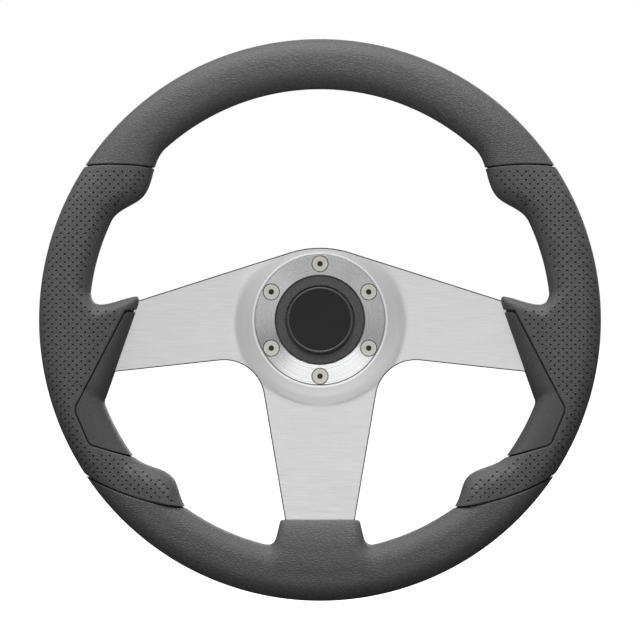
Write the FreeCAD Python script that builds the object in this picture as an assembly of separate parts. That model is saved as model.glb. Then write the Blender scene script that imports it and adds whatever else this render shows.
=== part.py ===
"""Boat steering wheel: a padded rim on a bar core, a dished three-spoke plate and a taper hub.

The wheel stands upright. Its axis is Y, the driver is on the -Y side, Z is up and X points to
the driver's right. The origin is on the axis at the back face of the hub, where the taper bore
is widest. Sizes are millimetres. Angles are degrees above the X axis. A level is a place along
Y, and the front of the wheel has the most negative levels. A rim spot is an angle and a
distance outside the middle of the rim's section, so what is on the rim moves with the rim.
"""
import FreeCAD
import Part
import math
import os

from FreeCAD import Vector

# Rim
WHEEL_DIAMETER = 350.0
RIM_WIDTH = 31.2            # grip section measured along the wheel's radius
RIM_DEPTH = 27.0            # grip section measured along the axis
SECTION_POWER = 2.35        # 2 is an ellipse, larger is squarer
RIM_OFFSET = 1.6            # depth of the plate's dish: the spokes end in the rim's middle

# Thumb swellings on the rim's inner edge: middle angle, rise, fade above and fade below
UPPER_SWELL = (35.6, 9.6, 12.5, 10.4)
LOWER_SWELL = (-46.4, 9.6, 10.9, 9.2)

# Seams between the grip pieces, each an arc through three rim spots
UPPER_SEAM = ((45.2, -28.7), (37.0, 0.8), (30.1, 27.8))
LOWER_SEAM = ((-57.1, -19.6), (-42.8, 0.9), (-29.4, 21.9))
SEAM_WIDTH = 0.9
SEAM_DEPTH = 1.3

# Insert let into each side grip: rim spots of its corners and the radius that rounds each
INSERT_CORNERS = ((3.4, -59.2), (2.8, -38.7), (-20.0, 2.6), (-28.4, 3.1), (-37.6, -17.9))
INSERT_RADII = (0.0, 1.5, 7.0, 6.0, 0.0)

# Boot that runs from the rim over the end of each side spoke.
# Each station: rim spot of its top, rim spot of its bottom, half depth
BOOT_STATIONS = (
    ((6.2, -46.6), (-20.4, -16.7), 6.2),
    ((7.3, -44.9), (-19.9, -15.0), 8.0),
    ((7.0, -41.9), (-19.2, -12.8), 9.3),
    ((6.2, -37.4), (-18.4, -9.7), 10.6),
    ((4.9, -30.5), (-17.4, -5.4), 11.8),
    ((4.1, -23.9), (-16.7, -2.8), 12.5),
    ((4.3, -18.8), (-16.4, -1.5), 12.8),
    ((5.9, -14.6), (-16.1, -0.7), 12.9),
    ((8.3, -6.8), (-15.9, -0.3), 12.7),
    ((8.7, -1.6), (-15.8, 0.1), 12.4),
)
BOOT_CORNER_SHARE = 0.72    # corner radius as a share of the half depth

# Collar that runs from the rim over the end of the lower spoke.
# Each station: fall from the collar's mouth, width beyond the spoke's edge, half depth
COLLAR_MOUTH = -34.8        # rim distance
COLLAR_STATIONS = (
    (0.0, 2.6, 6.0),
    (1.4, 3.3, 7.2),
    (5.5, 4.3, 9.4),
    (10.0, 5.4, 11.0),
    (15.0, 6.6, 12.2),
    (21.0, 7.8, 12.7),
    (28.0, 9.0, 12.4),
)
COLLAR_CORNER_SHARE = 0.6
COLLAR_ROOT_RADIUS = 5.5

# Rim core and the lugs welded to it
CORE_DIAMETER = 12.0
LUG_THICKNESS = 4.0
LUG_REACH = 24.0            # from the core's centre line towards the hub
LUG_WIDTH = 30.0
SIDE_LUG_ANGLE = -6.3

# Spoke plate
PLATE_THICKNESS = 4.0
DISH_FOOT_GAP = 7.6         # from the clamp ring's edge to the foot of the dish
DISH_WIDTH = 6.2
DISH_FOOT_BEND = 12.0       # bend radii are those of the sheet's middle
DISH_TOP_BEND = 12.0
TIP_GAP = 3.4               # spoke tip to core
CROWN_HEIGHT = 45.0
CROWN_RADIUS = 62.5
SIDE_SPOKE_TOP = (5.7, -43.8)       # rim spot that the top edge passes
SIDE_SPOKE_FOOT = (-14.3, -29.7)    # rim spot that the under edge passes
SIDE_SPOKE_FOOT_ANGLE = -6.2
LOWER_SPOKE_HALF_WIDTH = 21.7       # at the collar's mouth
LOWER_SPOKE_SIDE_ANGLE = 80.4
SPOKE_CORNER_RADIUS = 25.0

# Rivets that hold the spokes to the lugs, two to a spoke
RIVET_DIAMETER = 6.0
RIVET_HEAD_DIAMETER = 11.0
RIVET_HEAD_FLAT = 7.0
RIVET_HEAD_HEIGHT = 2.2
RIVET_SPACING = 14.0

# Clamp ring and its screws
SCREW_COUNT = 6
SCREW_CIRCLE_DIAMETER = 70.0
RING_INNER_LAND = 7.0       # from the screw circle to the ring's bore
RING_OUTER_LAND = 5.6       # from the screw circle to the ring's edge
RING_EDGE_HEIGHT = 2.2      # heights are above the front of the plate
RING_BORE_HEIGHT = 3.8
RING_CHAMFER = 0.5
RING_SEAT_DEPTH = 1.5       # how far the ring is let into the plate
RING_SEAT_GAP = 0.4         # round the ring's edge
RING_SEAT_CHAMFER = 1.0
SCREW_DIAMETER = 5.0
SCREW_LENGTH = 14.0
SCREW_HEAD_DIAMETER = 9.8
SCREW_HEAD_RIM = 0.5
SCREW_HEAD_HEIGHT = 2.9
SCREW_HEAD_LEVEL = 2.25     # front of the heads above the spoke plate
SCREW_SOCKET = 3.0
SCREW_SOCKET_DEPTH = 1.9
SCREW_CLEARANCE = 0.25

# Hub
HUB_LENGTH = 42.0
HUB_FLANGE_THICKNESS = 8.0
HUB_WALL = 5.5              # round the recess
HUB_FLOOR = 4.0             # behind the recess, before the barrel narrows
HUB_TAIL_WALL = 11.5        # round the taper bore
HUB_TAIL_LENGTH = 15.0
HUB_RECESS_DEPTH = 14.0
HUB_EDGE = 0.8
SHAFT_DIAMETER = 19.05      # at the hub's back face
SHAFT_TAPER = 1.0 / 12.0    # loss of diameter over length
KEYWAY_WIDTH = 4.76
KEYWAY_DEPTH = 2.4

# Centre cap
CAP_CLEARANCE = 0.3
CAP_SEAT_WIDTH = 1.5        # spoke plate left in sight inside the ring's bore
CAP_RECESS_STEP = 1.0       # from the plate's bore to the hub's recess
CAP_SKIRT_GAP = 1.5         # from the hub's recess to the cap's skirt
CAP_SKIRT_LENGTH = 10.0
CAP_WALL = 2.0
CAP_FLANGE_HEIGHT = 3.4
CAP_FLANGE_WIDTH = 6.3
CAP_MOAT_WIDTH = 1.0
CAP_MOAT_DEPTH = 1.8
CAP_BEAD_WIDTH = 1.3
CAP_BEAD_HEIGHT = 5.4
CAP_EDGE = 0.4
CAP_DISC_SINK = 0.6
CAP_DISC_THICKNESS = 1.4
SEAL_SECTION = 2.4
SEAL_CLEARANCE = 0.3
SEAL_FROM_END = 2.9         # middle of the seal to the end of the skirt

# Levels that follow from the sizes above
PLATE_BACK = -HUB_LENGTH
PLATE_MIDDLE = PLATE_BACK - PLATE_THICKNESS / 2
PLATE_FRONT = PLATE_BACK - PLATE_THICKNESS
RIM_LEVEL = PLATE_MIDDLE - RIM_OFFSET
SEAT_BACK = RIM_LEVEL + PLATE_THICKNESS / 2
SEAT_FRONT = RIM_LEVEL - PLATE_THICKNESS / 2
CORE_LEVEL = SEAT_BACK + LUG_THICKNESS / 2
NUT_SEAT = PLATE_BACK + HUB_RECESS_DEPTH
RING_SEAT = PLATE_FRONT + RING_SEAT_DEPTH
SCREW_HEAD_FRONT = PLATE_FRONT - SCREW_HEAD_LEVEL
BEFORE_WHEEL = RIM_LEVEL - RIM_DEPTH

# Radii that follow from the sizes above
RIM_OUTER_RADIUS = WHEEL_DIAMETER / 2
RIM_INNER_RADIUS = RIM_OUTER_RADIUS - RIM_WIDTH
CORE_RADIUS = RIM_OUTER_RADIUS - RIM_WIDTH / 2
TIP_RADIUS = CORE_RADIUS - CORE_DIAMETER / 2 - TIP_GAP
RIVET_RADIUS = (CORE_RADIUS - LUG_REACH + TIP_RADIUS) / 2
RING_RADIUS = SCREW_CIRCLE_DIAMETER / 2 + RING_OUTER_LAND
RING_BORE_RADIUS = SCREW_CIRCLE_DIAMETER / 2 - RING_INNER_LAND
PLATE_BORE_RADIUS = RING_BORE_RADIUS - CAP_SEAT_WIDTH
RECESS_RADIUS = PLATE_BORE_RADIUS - CAP_RECESS_STEP
CAP_RADIUS = RING_BORE_RADIUS - CAP_CLEARANCE
CAP_MOAT_OUTSIDE = CAP_RADIUS - CAP_FLANGE_WIDTH
CAP_MOAT_INSIDE = CAP_MOAT_OUTSIDE - CAP_MOAT_WIDTH
CAP_DISC_RADIUS = CAP_MOAT_INSIDE - CAP_BEAD_WIDTH

AXIS_POINT = Vector(0, 0, 0)
RIGHT = Vector(1, 0, 0)
BACKWARD = Vector(0, 1, 0)
SECTION_POINTS = 20
SPARE_ANGLE = 2.0           # a grip's form runs this far past its seams before it is trimmed


def place(corner, level=0.0):
    """A point from its (x, z) place in the wheel's plane and its level."""
    return Vector(corner[0], level, corner[1])


def polar(angle, radius, level=0.0):
    """A point from its angle and its distance from the axis."""
    turn = math.radians(angle)
    return Vector(radius * math.cos(turn), level, radius * math.sin(turn))


def on_rim(spot, level=0.0):
    """A point from its rim spot and its level."""
    angle, distance = spot
    return polar(angle, CORE_RADIUS + distance, level)


def crossing(first, first_angle, second, second_angle):
    """Where two lines meet in the wheel's plane, each given by a point and an angle."""
    one = polar(first_angle, 1.0)
    two = polar(second_angle, 1.0)
    gap = second - first
    reach = (gap.x * two.z - gap.z * two.x) / (one.x * two.z - one.z * two.x)
    return first + one * reach


def rounded_wire(points, radii):
    """A closed outline through points, each corner rounded by its own radius."""
    count = len(points)
    entries = []
    exits = []
    arcs = []
    for i in range(count):
        here = points[i]
        if radii[i] == 0:
            entries.append(here)
            exits.append(here)
            arcs.append(None)
            continue
        back = (points[i - 1] - here).normalize()
        ahead = (points[(i + 1) % count] - here).normalize()
        half = back.getAngle(ahead) / 2
        reach = radii[i] / math.tan(half)
        inward = (back + ahead).normalize()
        nearest = here + inward * (radii[i] / math.sin(half) - radii[i])
        entries.append(here + back * reach)
        exits.append(here + ahead * reach)
        arcs.append(Part.Arc(entries[i], nearest, exits[i]).toShape())
    edges = []
    for i in range(count):
        if arcs[i] is not None:
            edges.append(arcs[i])
        edges.append(Part.makeLine(exits[i], entries[(i + 1) % count]))
    return Part.Wire(edges)


def through(wire):
    """A solid with this outline that runs right through the wheel."""
    face = Part.Face(wire)
    face.translate(BACKWARD * BEFORE_WHEEL)
    return face.extrude(BACKWARD * (RIM_DEPTH - BEFORE_WHEEL))


def turned(profile):
    """A solid turned about the axis from (radius, level) corners."""
    points = [Vector(radius, level, 0) for radius, level in profile]
    face = Part.Face(Part.makePolygon(points + points[:1]))
    return face.revolve(AXIS_POINT, BACKWARD, 360)


def bar(radius, front, back, centre=AXIS_POINT):
    """A round bar parallel to the axis between two levels."""
    start = Vector(centre.x, front, centre.z)
    return Part.makeCylinder(radius, back - front, start, BACKWARD)


def cone(front_radius, back_radius, front, back, centre):
    """A cone parallel to the axis between two levels."""
    start = Vector(centre.x, front, centre.z)
    return Part.makeCone(front_radius, back_radius, back - front, start, BACKWARD)


def mirrored(shape):
    """The same shape on the driver's left."""
    return shape.mirror(AXIS_POINT, RIGHT)


def mirrored_swell(swell):
    """A thumb swelling on the driver's left."""
    middle, rise, fade_above, fade_below = swell
    return 180 - middle, rise, fade_below, fade_above


def inner_radius(angle, swells):
    """The rim's inner radius where the wheel is cut at this angle."""
    radius = RIM_INNER_RADIUS
    for middle, rise, fade_above, fade_below in swells:
        away = angle - middle
        share = away / (fade_above if away > 0 else fade_below)
        if abs(share) < 1:
            radius -= rise * math.cos(share * math.pi / 2) ** 2
    return radius


def rim_section(angle, swells, inset):
    """The closed curve around the grip where the wheel is cut at this angle."""
    inner = inner_radius(angle, swells) + inset
    outer = RIM_OUTER_RADIUS - inset
    half_width = (outer - inner) / 2
    half_depth = RIM_DEPTH / 2 - inset
    points = []
    for i in range(SECTION_POINTS):
        turn = 2 * math.pi * i / SECTION_POINTS
        outward = math.copysign(abs(math.cos(turn)) ** (2 / SECTION_POWER), math.cos(turn))
        forward = math.copysign(abs(math.sin(turn)) ** (2 / SECTION_POWER), math.sin(turn))
        radius = (outer + inner) / 2 + half_width * outward
        points.append(polar(angle, radius, RIM_LEVEL - half_depth * forward))
    curve = Part.BSplineCurve()
    curve.interpolate(Points=points, PeriodicFlag=True)
    return Part.Wire(curve.toShape())


def rim_length(high, low, swells, inset=0.0):
    """A length of grip between two angles: turned where it is plain, lofted where it swells."""
    marks = [high, low]
    for middle, rise, fade_above, fade_below in swells:
        marks += [middle + fade_above, middle - fade_below]
    marks = sorted((mark for mark in marks if low <= mark <= high), reverse=True)
    pieces = []
    for start, end in zip(marks, marks[1:]):
        if inner_radius((start + end) / 2, swells) == RIM_INNER_RADIUS:
            face = Part.Face(rim_section(start, swells, inset))
            pieces.append(face.revolve(AXIS_POINT, BACKWARD, start - end))
            continue
        count = 2 + round((start - end) / 2)
        step = (end - start) / (count - 1)
        sections = [rim_section(start + step * i, swells, inset) for i in range(count)]
        pieces.append(Part.makeLoft(sections, True, False))
    return pieces


def rounded_box_wire(first_end, second_end, half_depth, radius):
    """A rounded rectangle with one side from end to end and the other along the axis."""
    along = (second_end - first_end).normalize()
    deep = BACKWARD * half_depth
    corners = [first_end - deep, second_end - deep, second_end + deep, first_end + deep]
    return rounded_wire(corners, [radius] * 4)


def boot(inset=0.0):
    """The swelling of the right grip over the end of its spoke."""
    wires = []
    for top, bottom, half_depth in BOOT_STATIONS:
        high = on_rim(top, RIM_LEVEL)
        low = on_rim(bottom, RIM_LEVEL)
        down = (low - high).normalize()
        outward = down.cross(BACKWARD)
        high += (down + outward) * inset
        low += (outward - down) * inset
        depth = half_depth - inset
        wires.append(rounded_box_wire(high, low, depth, depth * BOOT_CORNER_SHARE))
    return Part.makeLoft(wires, True, False)


def collar():
    """The swelling of the bottom grip over the end of the lower spoke."""
    wires = []
    for fall, beyond, half_depth in COLLAR_STATIONS:
        mouth = on_rim((-90, COLLAR_MOUTH + fall), RIM_LEVEL)
        side = RIGHT * (LOWER_SPOKE_HALF_WIDTH + beyond)
        radius = half_depth * COLLAR_CORNER_SHARE
        wires.append(rounded_box_wire(mouth - side, mouth + side, half_depth, radius))
    return Part.makeLoft(wires, True, False)


def seam_band(seam):
    """A strip one seam wide that follows the seam through the wheel."""
    spots = [on_rim(spot) for spot in seam]
    circle = Part.Arc(*spots).toShape().Curve
    centre = circle.Center
    rows = []
    for side in (1, -1):
        radius = circle.Radius + side * SEAM_WIDTH / 2
        rows.append([centre + (spot - centre).normalize() * radius for spot in spots])
    far, near = rows
    edges = [Part.Arc(*far).toShape(), Part.makeLine(far[2], near[2])]
    edges += [Part.Arc(*near[::-1]).toShape(), Part.makeLine(near[0], far[0])]
    return through(Part.Wire(edges))


def side_field():
    """Everything on the right between the two seams."""
    upper = [on_rim(spot) for spot in UPPER_SEAM]
    lower = [on_rim(spot) for spot in LOWER_SEAM]
    top_right = place((WHEEL_DIAMETER, upper[2].z))
    bottom_right = place((WHEEL_DIAMETER, lower[2].z))
    edges = [Part.Arc(*upper).toShape()]
    edges.append(Part.makeLine(upper[2], top_right))
    edges.append(Part.makeLine(top_right, bottom_right))
    edges.append(Part.makeLine(bottom_right, lower[2]))
    edges.append(Part.Arc(*lower[::-1]).toShape())
    edges.append(Part.makeLine(lower[0], upper[0]))
    return through(Part.Wire(edges))


def insert_wire():
    """The outline of the insert in the right grip."""
    return rounded_wire([on_rim(spot) for spot in INSERT_CORNERS], INSERT_RADII)


def insert_band():
    """A strip one seam wide that follows the insert's outline."""
    outer = through(insert_wire().makeOffset2D(SEAM_WIDTH / 2))
    return outer.cut(through(insert_wire().makeOffset2D(-SEAM_WIDTH / 2)))


def side_form(inset=0.0):
    """The right grip's outer form, run a little past both seams."""
    high = UPPER_SEAM[0][0] + SPARE_ANGLE
    low = LOWER_SEAM[0][0] - SPARE_ANGLE
    pieces = rim_length(high, low, (UPPER_SWELL, LOWER_SWELL), inset)
    return boot(inset).fuse(pieces)


def side_grip_and_insert(fittings):
    """The right grip and its insert, moulded over the metal inside them."""
    bands = seam_band(UPPER_SEAM).fuse([seam_band(LOWER_SEAM), insert_band()])
    grooves = bands.cut(side_form(SEAM_DEPTH))
    body = side_form().common(side_field()).cut([grooves] + fittings)
    wedge = through(insert_wire())
    return body.cut(wedge), body.common(wedge)


def grip_between(seam, form, heart, fittings):
    """A grip piece that runs from a seam on the right to the same seam on the left."""
    band = seam_band(seam).cut(heart)
    field = side_field()
    return form.cut([field, mirrored(field), band, mirrored(band)] + fittings)


def top_grip(fittings):
    """The grip piece over the top of the wheel."""
    low = UPPER_SEAM[2][0] - SPARE_ANGLE
    swells = (UPPER_SWELL, mirrored_swell(UPPER_SWELL))
    form, *rest = rim_length(180 - low, low, swells)
    heart = rim_length(180 - low, low, swells, SEAM_DEPTH)
    return grip_between(UPPER_SEAM, form.fuse(rest), heart, fittings)


def collar_root_edges(form):
    """The edges where the sides of the collar run into the rim's inner edge."""
    edges = []
    for edge in form.Edges:
        middle = edge.CenterOfMass
        upright = abs(middle.y - RIM_LEVEL) < 0.1
        on_inner_edge = abs(math.hypot(middle.x, middle.z) - RIM_INNER_RADIUS) < 1.0
        if upright and on_inner_edge and middle.z < 0:
            edges.append(edge)
    return edges


def bottom_grip(fittings):
    """The grip piece under the wheel, with the collar of the lower spoke."""
    high = LOWER_SEAM[2][0] + SPARE_ANGLE
    form, = rim_length(high, -180 - high, ())
    heart = rim_length(high, -180 - high, (), SEAM_DEPTH)
    form = form.fuse(collar()).Solids[0]
    form = form.makeFillet(COLLAR_ROOT_RADIUS, collar_root_edges(form))
    return grip_between(LOWER_SEAM, form, heart, fittings)


def core_ring():
    """The round bar bent into a hoop inside the grips."""
    centre = Vector(0, CORE_LEVEL, 0)
    return Part.makeTorus(CORE_RADIUS, CORE_DIAMETER / 2, centre, BACKWARD)


def lug(angle, core):
    """A flat tab behind the tip of the spoke at this angle, welded to the core."""
    corner = Vector(CORE_RADIUS - LUG_REACH, SEAT_BACK, -LUG_WIDTH / 2)
    tab = Part.makeBox(LUG_REACH, LUG_THICKNESS, LUG_WIDTH, corner)
    tab.rotate(AXIS_POINT, BACKWARD, -angle)
    holes = [bar(RIVET_DIAMETER / 2, BEFORE_WHEEL, 0, spot) for spot in rivet_places(angle)]
    return tab.cut([core] + holes)


def rivet_places(angle):
    """The two rivets of the spoke at this angle, side by side across it."""
    across = polar(angle + 90, RIVET_SPACING / 2)
    return [polar(angle, RIVET_RADIUS) + across * side for side in (-1, 1)]


def all_rivet_places():
    """The rivets of all three spokes."""
    places = []
    for angle in (SIDE_LUG_ANGLE, 180 - SIDE_LUG_ANGLE, -90):
        places += rivet_places(angle)
    return places


def rivet(centre):
    """A rivet with a flat-topped head in front and a formed tail behind the lug."""
    back = SEAT_BACK + LUG_THICKNESS
    wide = RIVET_HEAD_DIAMETER / 2
    flat = RIVET_HEAD_FLAT / 2
    shank = bar(RIVET_DIAMETER / 2, SEAT_FRONT, back, centre)
    head = cone(flat, wide, SEAT_FRONT - RIVET_HEAD_HEIGHT, SEAT_FRONT, centre)
    tail = cone(wide, flat, back, back + RIVET_HEAD_HEIGHT, centre)
    return shank.fuse([head, tail]).removeSplitter()


def offset_run(points, distance):
    """The run of points moved sideways by a distance, with its corners kept sharp."""
    moved = []
    last = len(points) - 1
    for i in range(last + 1):
        back = points[max(i, 1)] - points[max(i, 1) - 1]
        ahead = points[min(i, last - 1) + 1] - points[min(i, last - 1)]
        back_normal = Vector(back.y, -back.x, 0).normalize()
        ahead_normal = Vector(ahead.y, -ahead.x, 0).normalize()
        middle = (back_normal + ahead_normal).normalize()
        moved.append(points[i] + middle * (distance / middle.dot(back_normal)))
    return moved


def dished_sheet():
    """The sheet the spoke plate is cut from, formed over its dish and turned about the axis."""
    foot = RING_RADIUS + DISH_FOOT_GAP
    run = [
        Vector(PLATE_BORE_RADIUS, PLATE_MIDDLE, 0),
        Vector(foot, PLATE_MIDDLE, 0),
        Vector(foot + DISH_WIDTH, RIM_LEVEL, 0),
        Vector(TIP_RADIUS, RIM_LEVEL, 0),
    ]
    half = PLATE_THICKNESS / 2
    front = offset_run(run, half)
    back = offset_run(run, -half)
    front_radii = [0, DISH_FOOT_BEND - half, DISH_TOP_BEND + half, 0]
    back_radii = [0, DISH_FOOT_BEND + half, DISH_TOP_BEND - half, 0]
    wire = rounded_wire(front + back[::-1], front_radii + back_radii[::-1])
    return Part.Face(wire).revolve(AXIS_POINT, BACKWARD, 360)


def crown_peak():
    """Where the top edges of the side spokes would meet above the crown that rounds them."""
    centre = place((0.0, CROWN_HEIGHT - CROWN_RADIUS))
    away = on_rim(SIDE_SPOKE_TOP) - centre
    to_edge = math.degrees(math.atan2(away.z, away.x))
    to_tangent = math.degrees(math.acos(CROWN_RADIUS / away.Length))
    edge_angle = to_edge + to_tangent - 90
    return crossing(on_rim(SIDE_SPOKE_TOP), edge_angle, AXIS_POINT, 90), edge_angle


def spoke_outline():
    """The three spokes seen from the driver's seat, their tips left long."""
    peak, top_angle = crown_peak()
    foot = on_rim(SIDE_SPOKE_FOOT)
    side = on_rim((-90, COLLAR_MOUTH)) + RIGHT * LOWER_SPOKE_HALF_WIDTH
    rim_right = place((RIM_OUTER_RADIUS, 0.0))
    rim_bottom = place((0.0, -RIM_OUTER_RADIUS))
    right = [
        crossing(peak, top_angle, rim_right, 90),
        crossing(foot, SIDE_SPOKE_FOOT_ANGLE, rim_right, 90),
        crossing(foot, SIDE_SPOKE_FOOT_ANGLE, side, LOWER_SPOKE_SIDE_ANGLE),
        crossing(side, LOWER_SPOKE_SIDE_ANGLE, rim_bottom, 0),
    ]
    radii = [0, 0, SPOKE_CORNER_RADIUS, 0]
    left = [Vector(-point.x, 0, point.z) for point in right[::-1]]
    return rounded_wire([peak] + right + left, [CROWN_RADIUS] + radii + radii[::-1])


def ring_seat():
    """The round seat in the front of the plate that the clamp ring is let into."""
    radius = RING_RADIUS + RING_SEAT_GAP
    return turned([
        (0.0, RING_SEAT),
        (radius, RING_SEAT),
        (radius, PLATE_FRONT + RING_SEAT_CHAMFER),
        (radius + RING_SEAT_CHAMFER, PLATE_FRONT),
        (0.0, PLATE_FRONT),
    ])


def spoke_plate():
    """The three spokes in one plate, with the ring's seat and holes for rivets and screws."""
    plate = dished_sheet().common(through(spoke_outline()))
    holes = [bar(RIVET_DIAMETER / 2, BEFORE_WHEEL, 0, spot) for spot in all_rivet_places()]
    clearance = SCREW_DIAMETER / 2 + SCREW_CLEARANCE
    holes += [bar(clearance, BEFORE_WHEEL, 0, spot) for spot in screw_places()]
    return plate.cut([ring_seat()] + holes)


def screw_places():
    """The screw circle, with its first screw at the top."""
    step = 360 / SCREW_COUNT
    return [polar(90 + i * step, SCREW_CIRCLE_DIAMETER / 2) for i in range(SCREW_COUNT)]


def hub_body():
    """The turned hub: a flange, a recess for the shaft's nut and a taper bore with a keyway."""
    flange_back = PLATE_BACK + HUB_FLANGE_THICKNESS
    barrel = RECESS_RADIUS + HUB_WALL
    tail = SHAFT_DIAMETER / 2 + HUB_TAIL_WALL
    small_end = (SHAFT_DIAMETER + SHAFT_TAPER * NUT_SEAT) / 2
    profile = [
        (RECESS_RADIUS, PLATE_BACK),
        (RING_RADIUS - HUB_EDGE, PLATE_BACK),
        (RING_RADIUS, PLATE_BACK + HUB_EDGE),
        (RING_RADIUS, flange_back - HUB_EDGE),
        (RING_RADIUS - HUB_EDGE, flange_back),
        (barrel, flange_back),
        (barrel, NUT_SEAT + HUB_FLOOR),
        (tail, -HUB_TAIL_LENGTH),
        (tail, -HUB_EDGE),
        (tail - HUB_EDGE, 0),
        (SHAFT_DIAMETER / 2, 0),
        (small_end, NUT_SEAT),
        (RECESS_RADIUS, NUT_SEAT),
    ]
    holes = [bar(SCREW_DIAMETER / 2, PLATE_BACK, flange_back, spot) for spot in screw_places()]
    return turned(profile).cut([keyway(small_end)] + holes)


def keyway(small_end):
    """The slot along the top of the taper bore, as deep at its small end as at its large end."""
    back = Vector(-KEYWAY_WIDTH / 2, 0, 0)
    front = Vector(-KEYWAY_WIDTH / 2, NUT_SEAT, 0)
    up = Vector(0, 0, 1)
    corners = [back, back + up * (SHAFT_DIAMETER / 2 + KEYWAY_DEPTH)]
    corners += [front + up * (small_end + KEYWAY_DEPTH), front]
    return Part.Face(Part.makePolygon(corners + corners[:1])).extrude(RIGHT * KEYWAY_WIDTH)


def countersunk_bar(centre, growth, front):
    """A countersunk screw's body, grown all round, with its head run out to a level in front."""
    wide = SCREW_HEAD_DIAMETER / 2 + growth
    thin = SCREW_DIAMETER / 2 + growth
    shoulder = SCREW_HEAD_FRONT + SCREW_HEAD_RIM
    neck = SCREW_HEAD_FRONT + SCREW_HEAD_HEIGHT
    head = bar(wide, front, shoulder, centre)
    taper = cone(wide, thin, shoulder, neck, centre)
    return head.fuse([taper, bar(thin, neck, SCREW_HEAD_FRONT + SCREW_LENGTH, centre)])


def clamp_ring():
    """The ring that clamps the spoke plate to the hub, its face rising towards its bore."""
    edge = PLATE_FRONT - RING_EDGE_HEIGHT
    bore = PLATE_FRONT - RING_BORE_HEIGHT
    profile = [
        (RING_BORE_RADIUS, RING_SEAT),
        (RING_RADIUS, RING_SEAT),
        (RING_RADIUS, edge + RING_CHAMFER),
        (RING_RADIUS - RING_CHAMFER, edge),
        (RING_BORE_RADIUS + RING_CHAMFER / 2, bore),
        (RING_BORE_RADIUS, bore + RING_CHAMFER / 2),
    ]
    sinks = [countersunk_bar(spot, SCREW_CLEARANCE, BEFORE_WHEEL) for spot in screw_places()]
    return turned(profile).cut(sinks)


def screw(centre):
    """A countersunk screw with a six-sided socket."""
    front = Vector(centre.x, SCREW_HEAD_FRONT, centre.z)
    corners = [front + polar(30 + 60 * i, SCREW_SOCKET / math.sqrt(3)) for i in range(6)]
    socket = Part.Face(Part.makePolygon(corners + corners[:1]))
    socket = socket.extrude(BACKWARD * SCREW_SOCKET_DEPTH)
    return countersunk_bar(centre, 0.0, SCREW_HEAD_FRONT).cut(socket).removeSplitter()


def cap_floors():
    """Levels of the floor under the cap's disc and of the floor of its moat."""
    disc_floor = PLATE_FRONT - CAP_BEAD_HEIGHT + CAP_DISC_SINK + CAP_DISC_THICKNESS
    return disc_floor, PLATE_FRONT - CAP_FLANGE_HEIGHT + CAP_MOAT_DEPTH


def cap_housing():
    """The cap that closes the ring's bore: a hollow skirt, a flange, a moat and a bead."""
    disc_floor, moat_floor = cap_floors()
    flange = PLATE_FRONT - CAP_FLANGE_HEIGHT
    bead = PLATE_FRONT - CAP_BEAD_HEIGHT
    skirt = RECESS_RADIUS - CAP_SKIRT_GAP
    skirt_end = RING_SEAT + CAP_SKIRT_LENGTH
    pocket = CAP_DISC_RADIUS - CAP_WALL / 2
    profile = [
        (0.0, disc_floor),
        (CAP_DISC_RADIUS, disc_floor),
        (CAP_DISC_RADIUS, bead + CAP_EDGE),
        (CAP_DISC_RADIUS + CAP_EDGE, bead),
        (CAP_MOAT_INSIDE - CAP_EDGE, bead),
        (CAP_MOAT_INSIDE, bead + CAP_EDGE),
        (CAP_MOAT_INSIDE, moat_floor),
        (CAP_MOAT_OUTSIDE, moat_floor),
        (CAP_MOAT_OUTSIDE, flange + CAP_EDGE),
        (CAP_MOAT_OUTSIDE + CAP_EDGE, flange),
        (CAP_RADIUS - 2 * CAP_EDGE, flange),
        (CAP_RADIUS, flange + 2 * CAP_EDGE),
        (CAP_RADIUS, RING_SEAT),
        (skirt, RING_SEAT),
        (skirt, skirt_end),
        (skirt - CAP_WALL, skirt_end),
        (skirt - CAP_WALL, moat_floor + CAP_WALL),
        (pocket, moat_floor + CAP_WALL),
        (pocket, disc_floor + CAP_WALL),
        (0.0, disc_floor + CAP_WALL),
    ]
    return turned(profile).cut(seal_ring())


def cap_disc():
    """The flat disc let into the front of the cap."""
    disc_floor, moat_floor = cap_floors()
    return bar(CAP_DISC_RADIUS, disc_floor - CAP_DISC_THICKNESS, disc_floor)


def seal_ring():
    """The round rubber ring in the cap's skirt that grips the hub's recess."""
    radius = RECESS_RADIUS - SEAL_CLEARANCE - SEAL_SECTION / 2
    centre = Vector(0, RING_SEAT + CAP_SKIRT_LENGTH - SEAL_FROM_END, 0)
    return Part.makeTorus(radius, SEAL_SECTION / 2, centre, BACKWARD)


def main():
    core = core_ring()
    lug_right = lug(SIDE_LUG_ANGLE, core)
    lug_left = mirrored(lug_right)
    lug_bottom = lug(-90, core)
    plate = spoke_plate()
    rivets = Part.makeCompound([rivet(spot) for spot in all_rivet_places()])
    fittings = [core, lug_right, lug_bottom, plate, rivets]
    grip_right, insert_right = side_grip_and_insert(fittings)
    nodes = {
        "rim_core": core,
        "rim_lug_right": lug_right,
        "rim_lug_left": lug_left,
        "rim_lug_bottom": lug_bottom,
        "spoke_plate": plate,
        "spoke_rivets": rivets,
        "grip_top": top_grip([core]),
        "grip_right": grip_right,
        "grip_left": mirrored(grip_right),
        "grip_bottom": bottom_grip(fittings),
        "insert_right": insert_right,
        "insert_left": mirrored(insert_right),
        "hub_body": hub_body(),
        "clamp_ring": clamp_ring(),
        "clamp_screws": Part.makeCompound([screw(spot) for spot in screw_places()]),
        "cap_housing": cap_housing(),
        "cap_disc": cap_disc(),
        "cap_retaining_ring": seal_ring(),
    }
    os.makedirs("parts", exist_ok=True)
    for name, shape in nodes.items():
        shape.exportStep("parts/" + name + ".step")


main()
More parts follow.
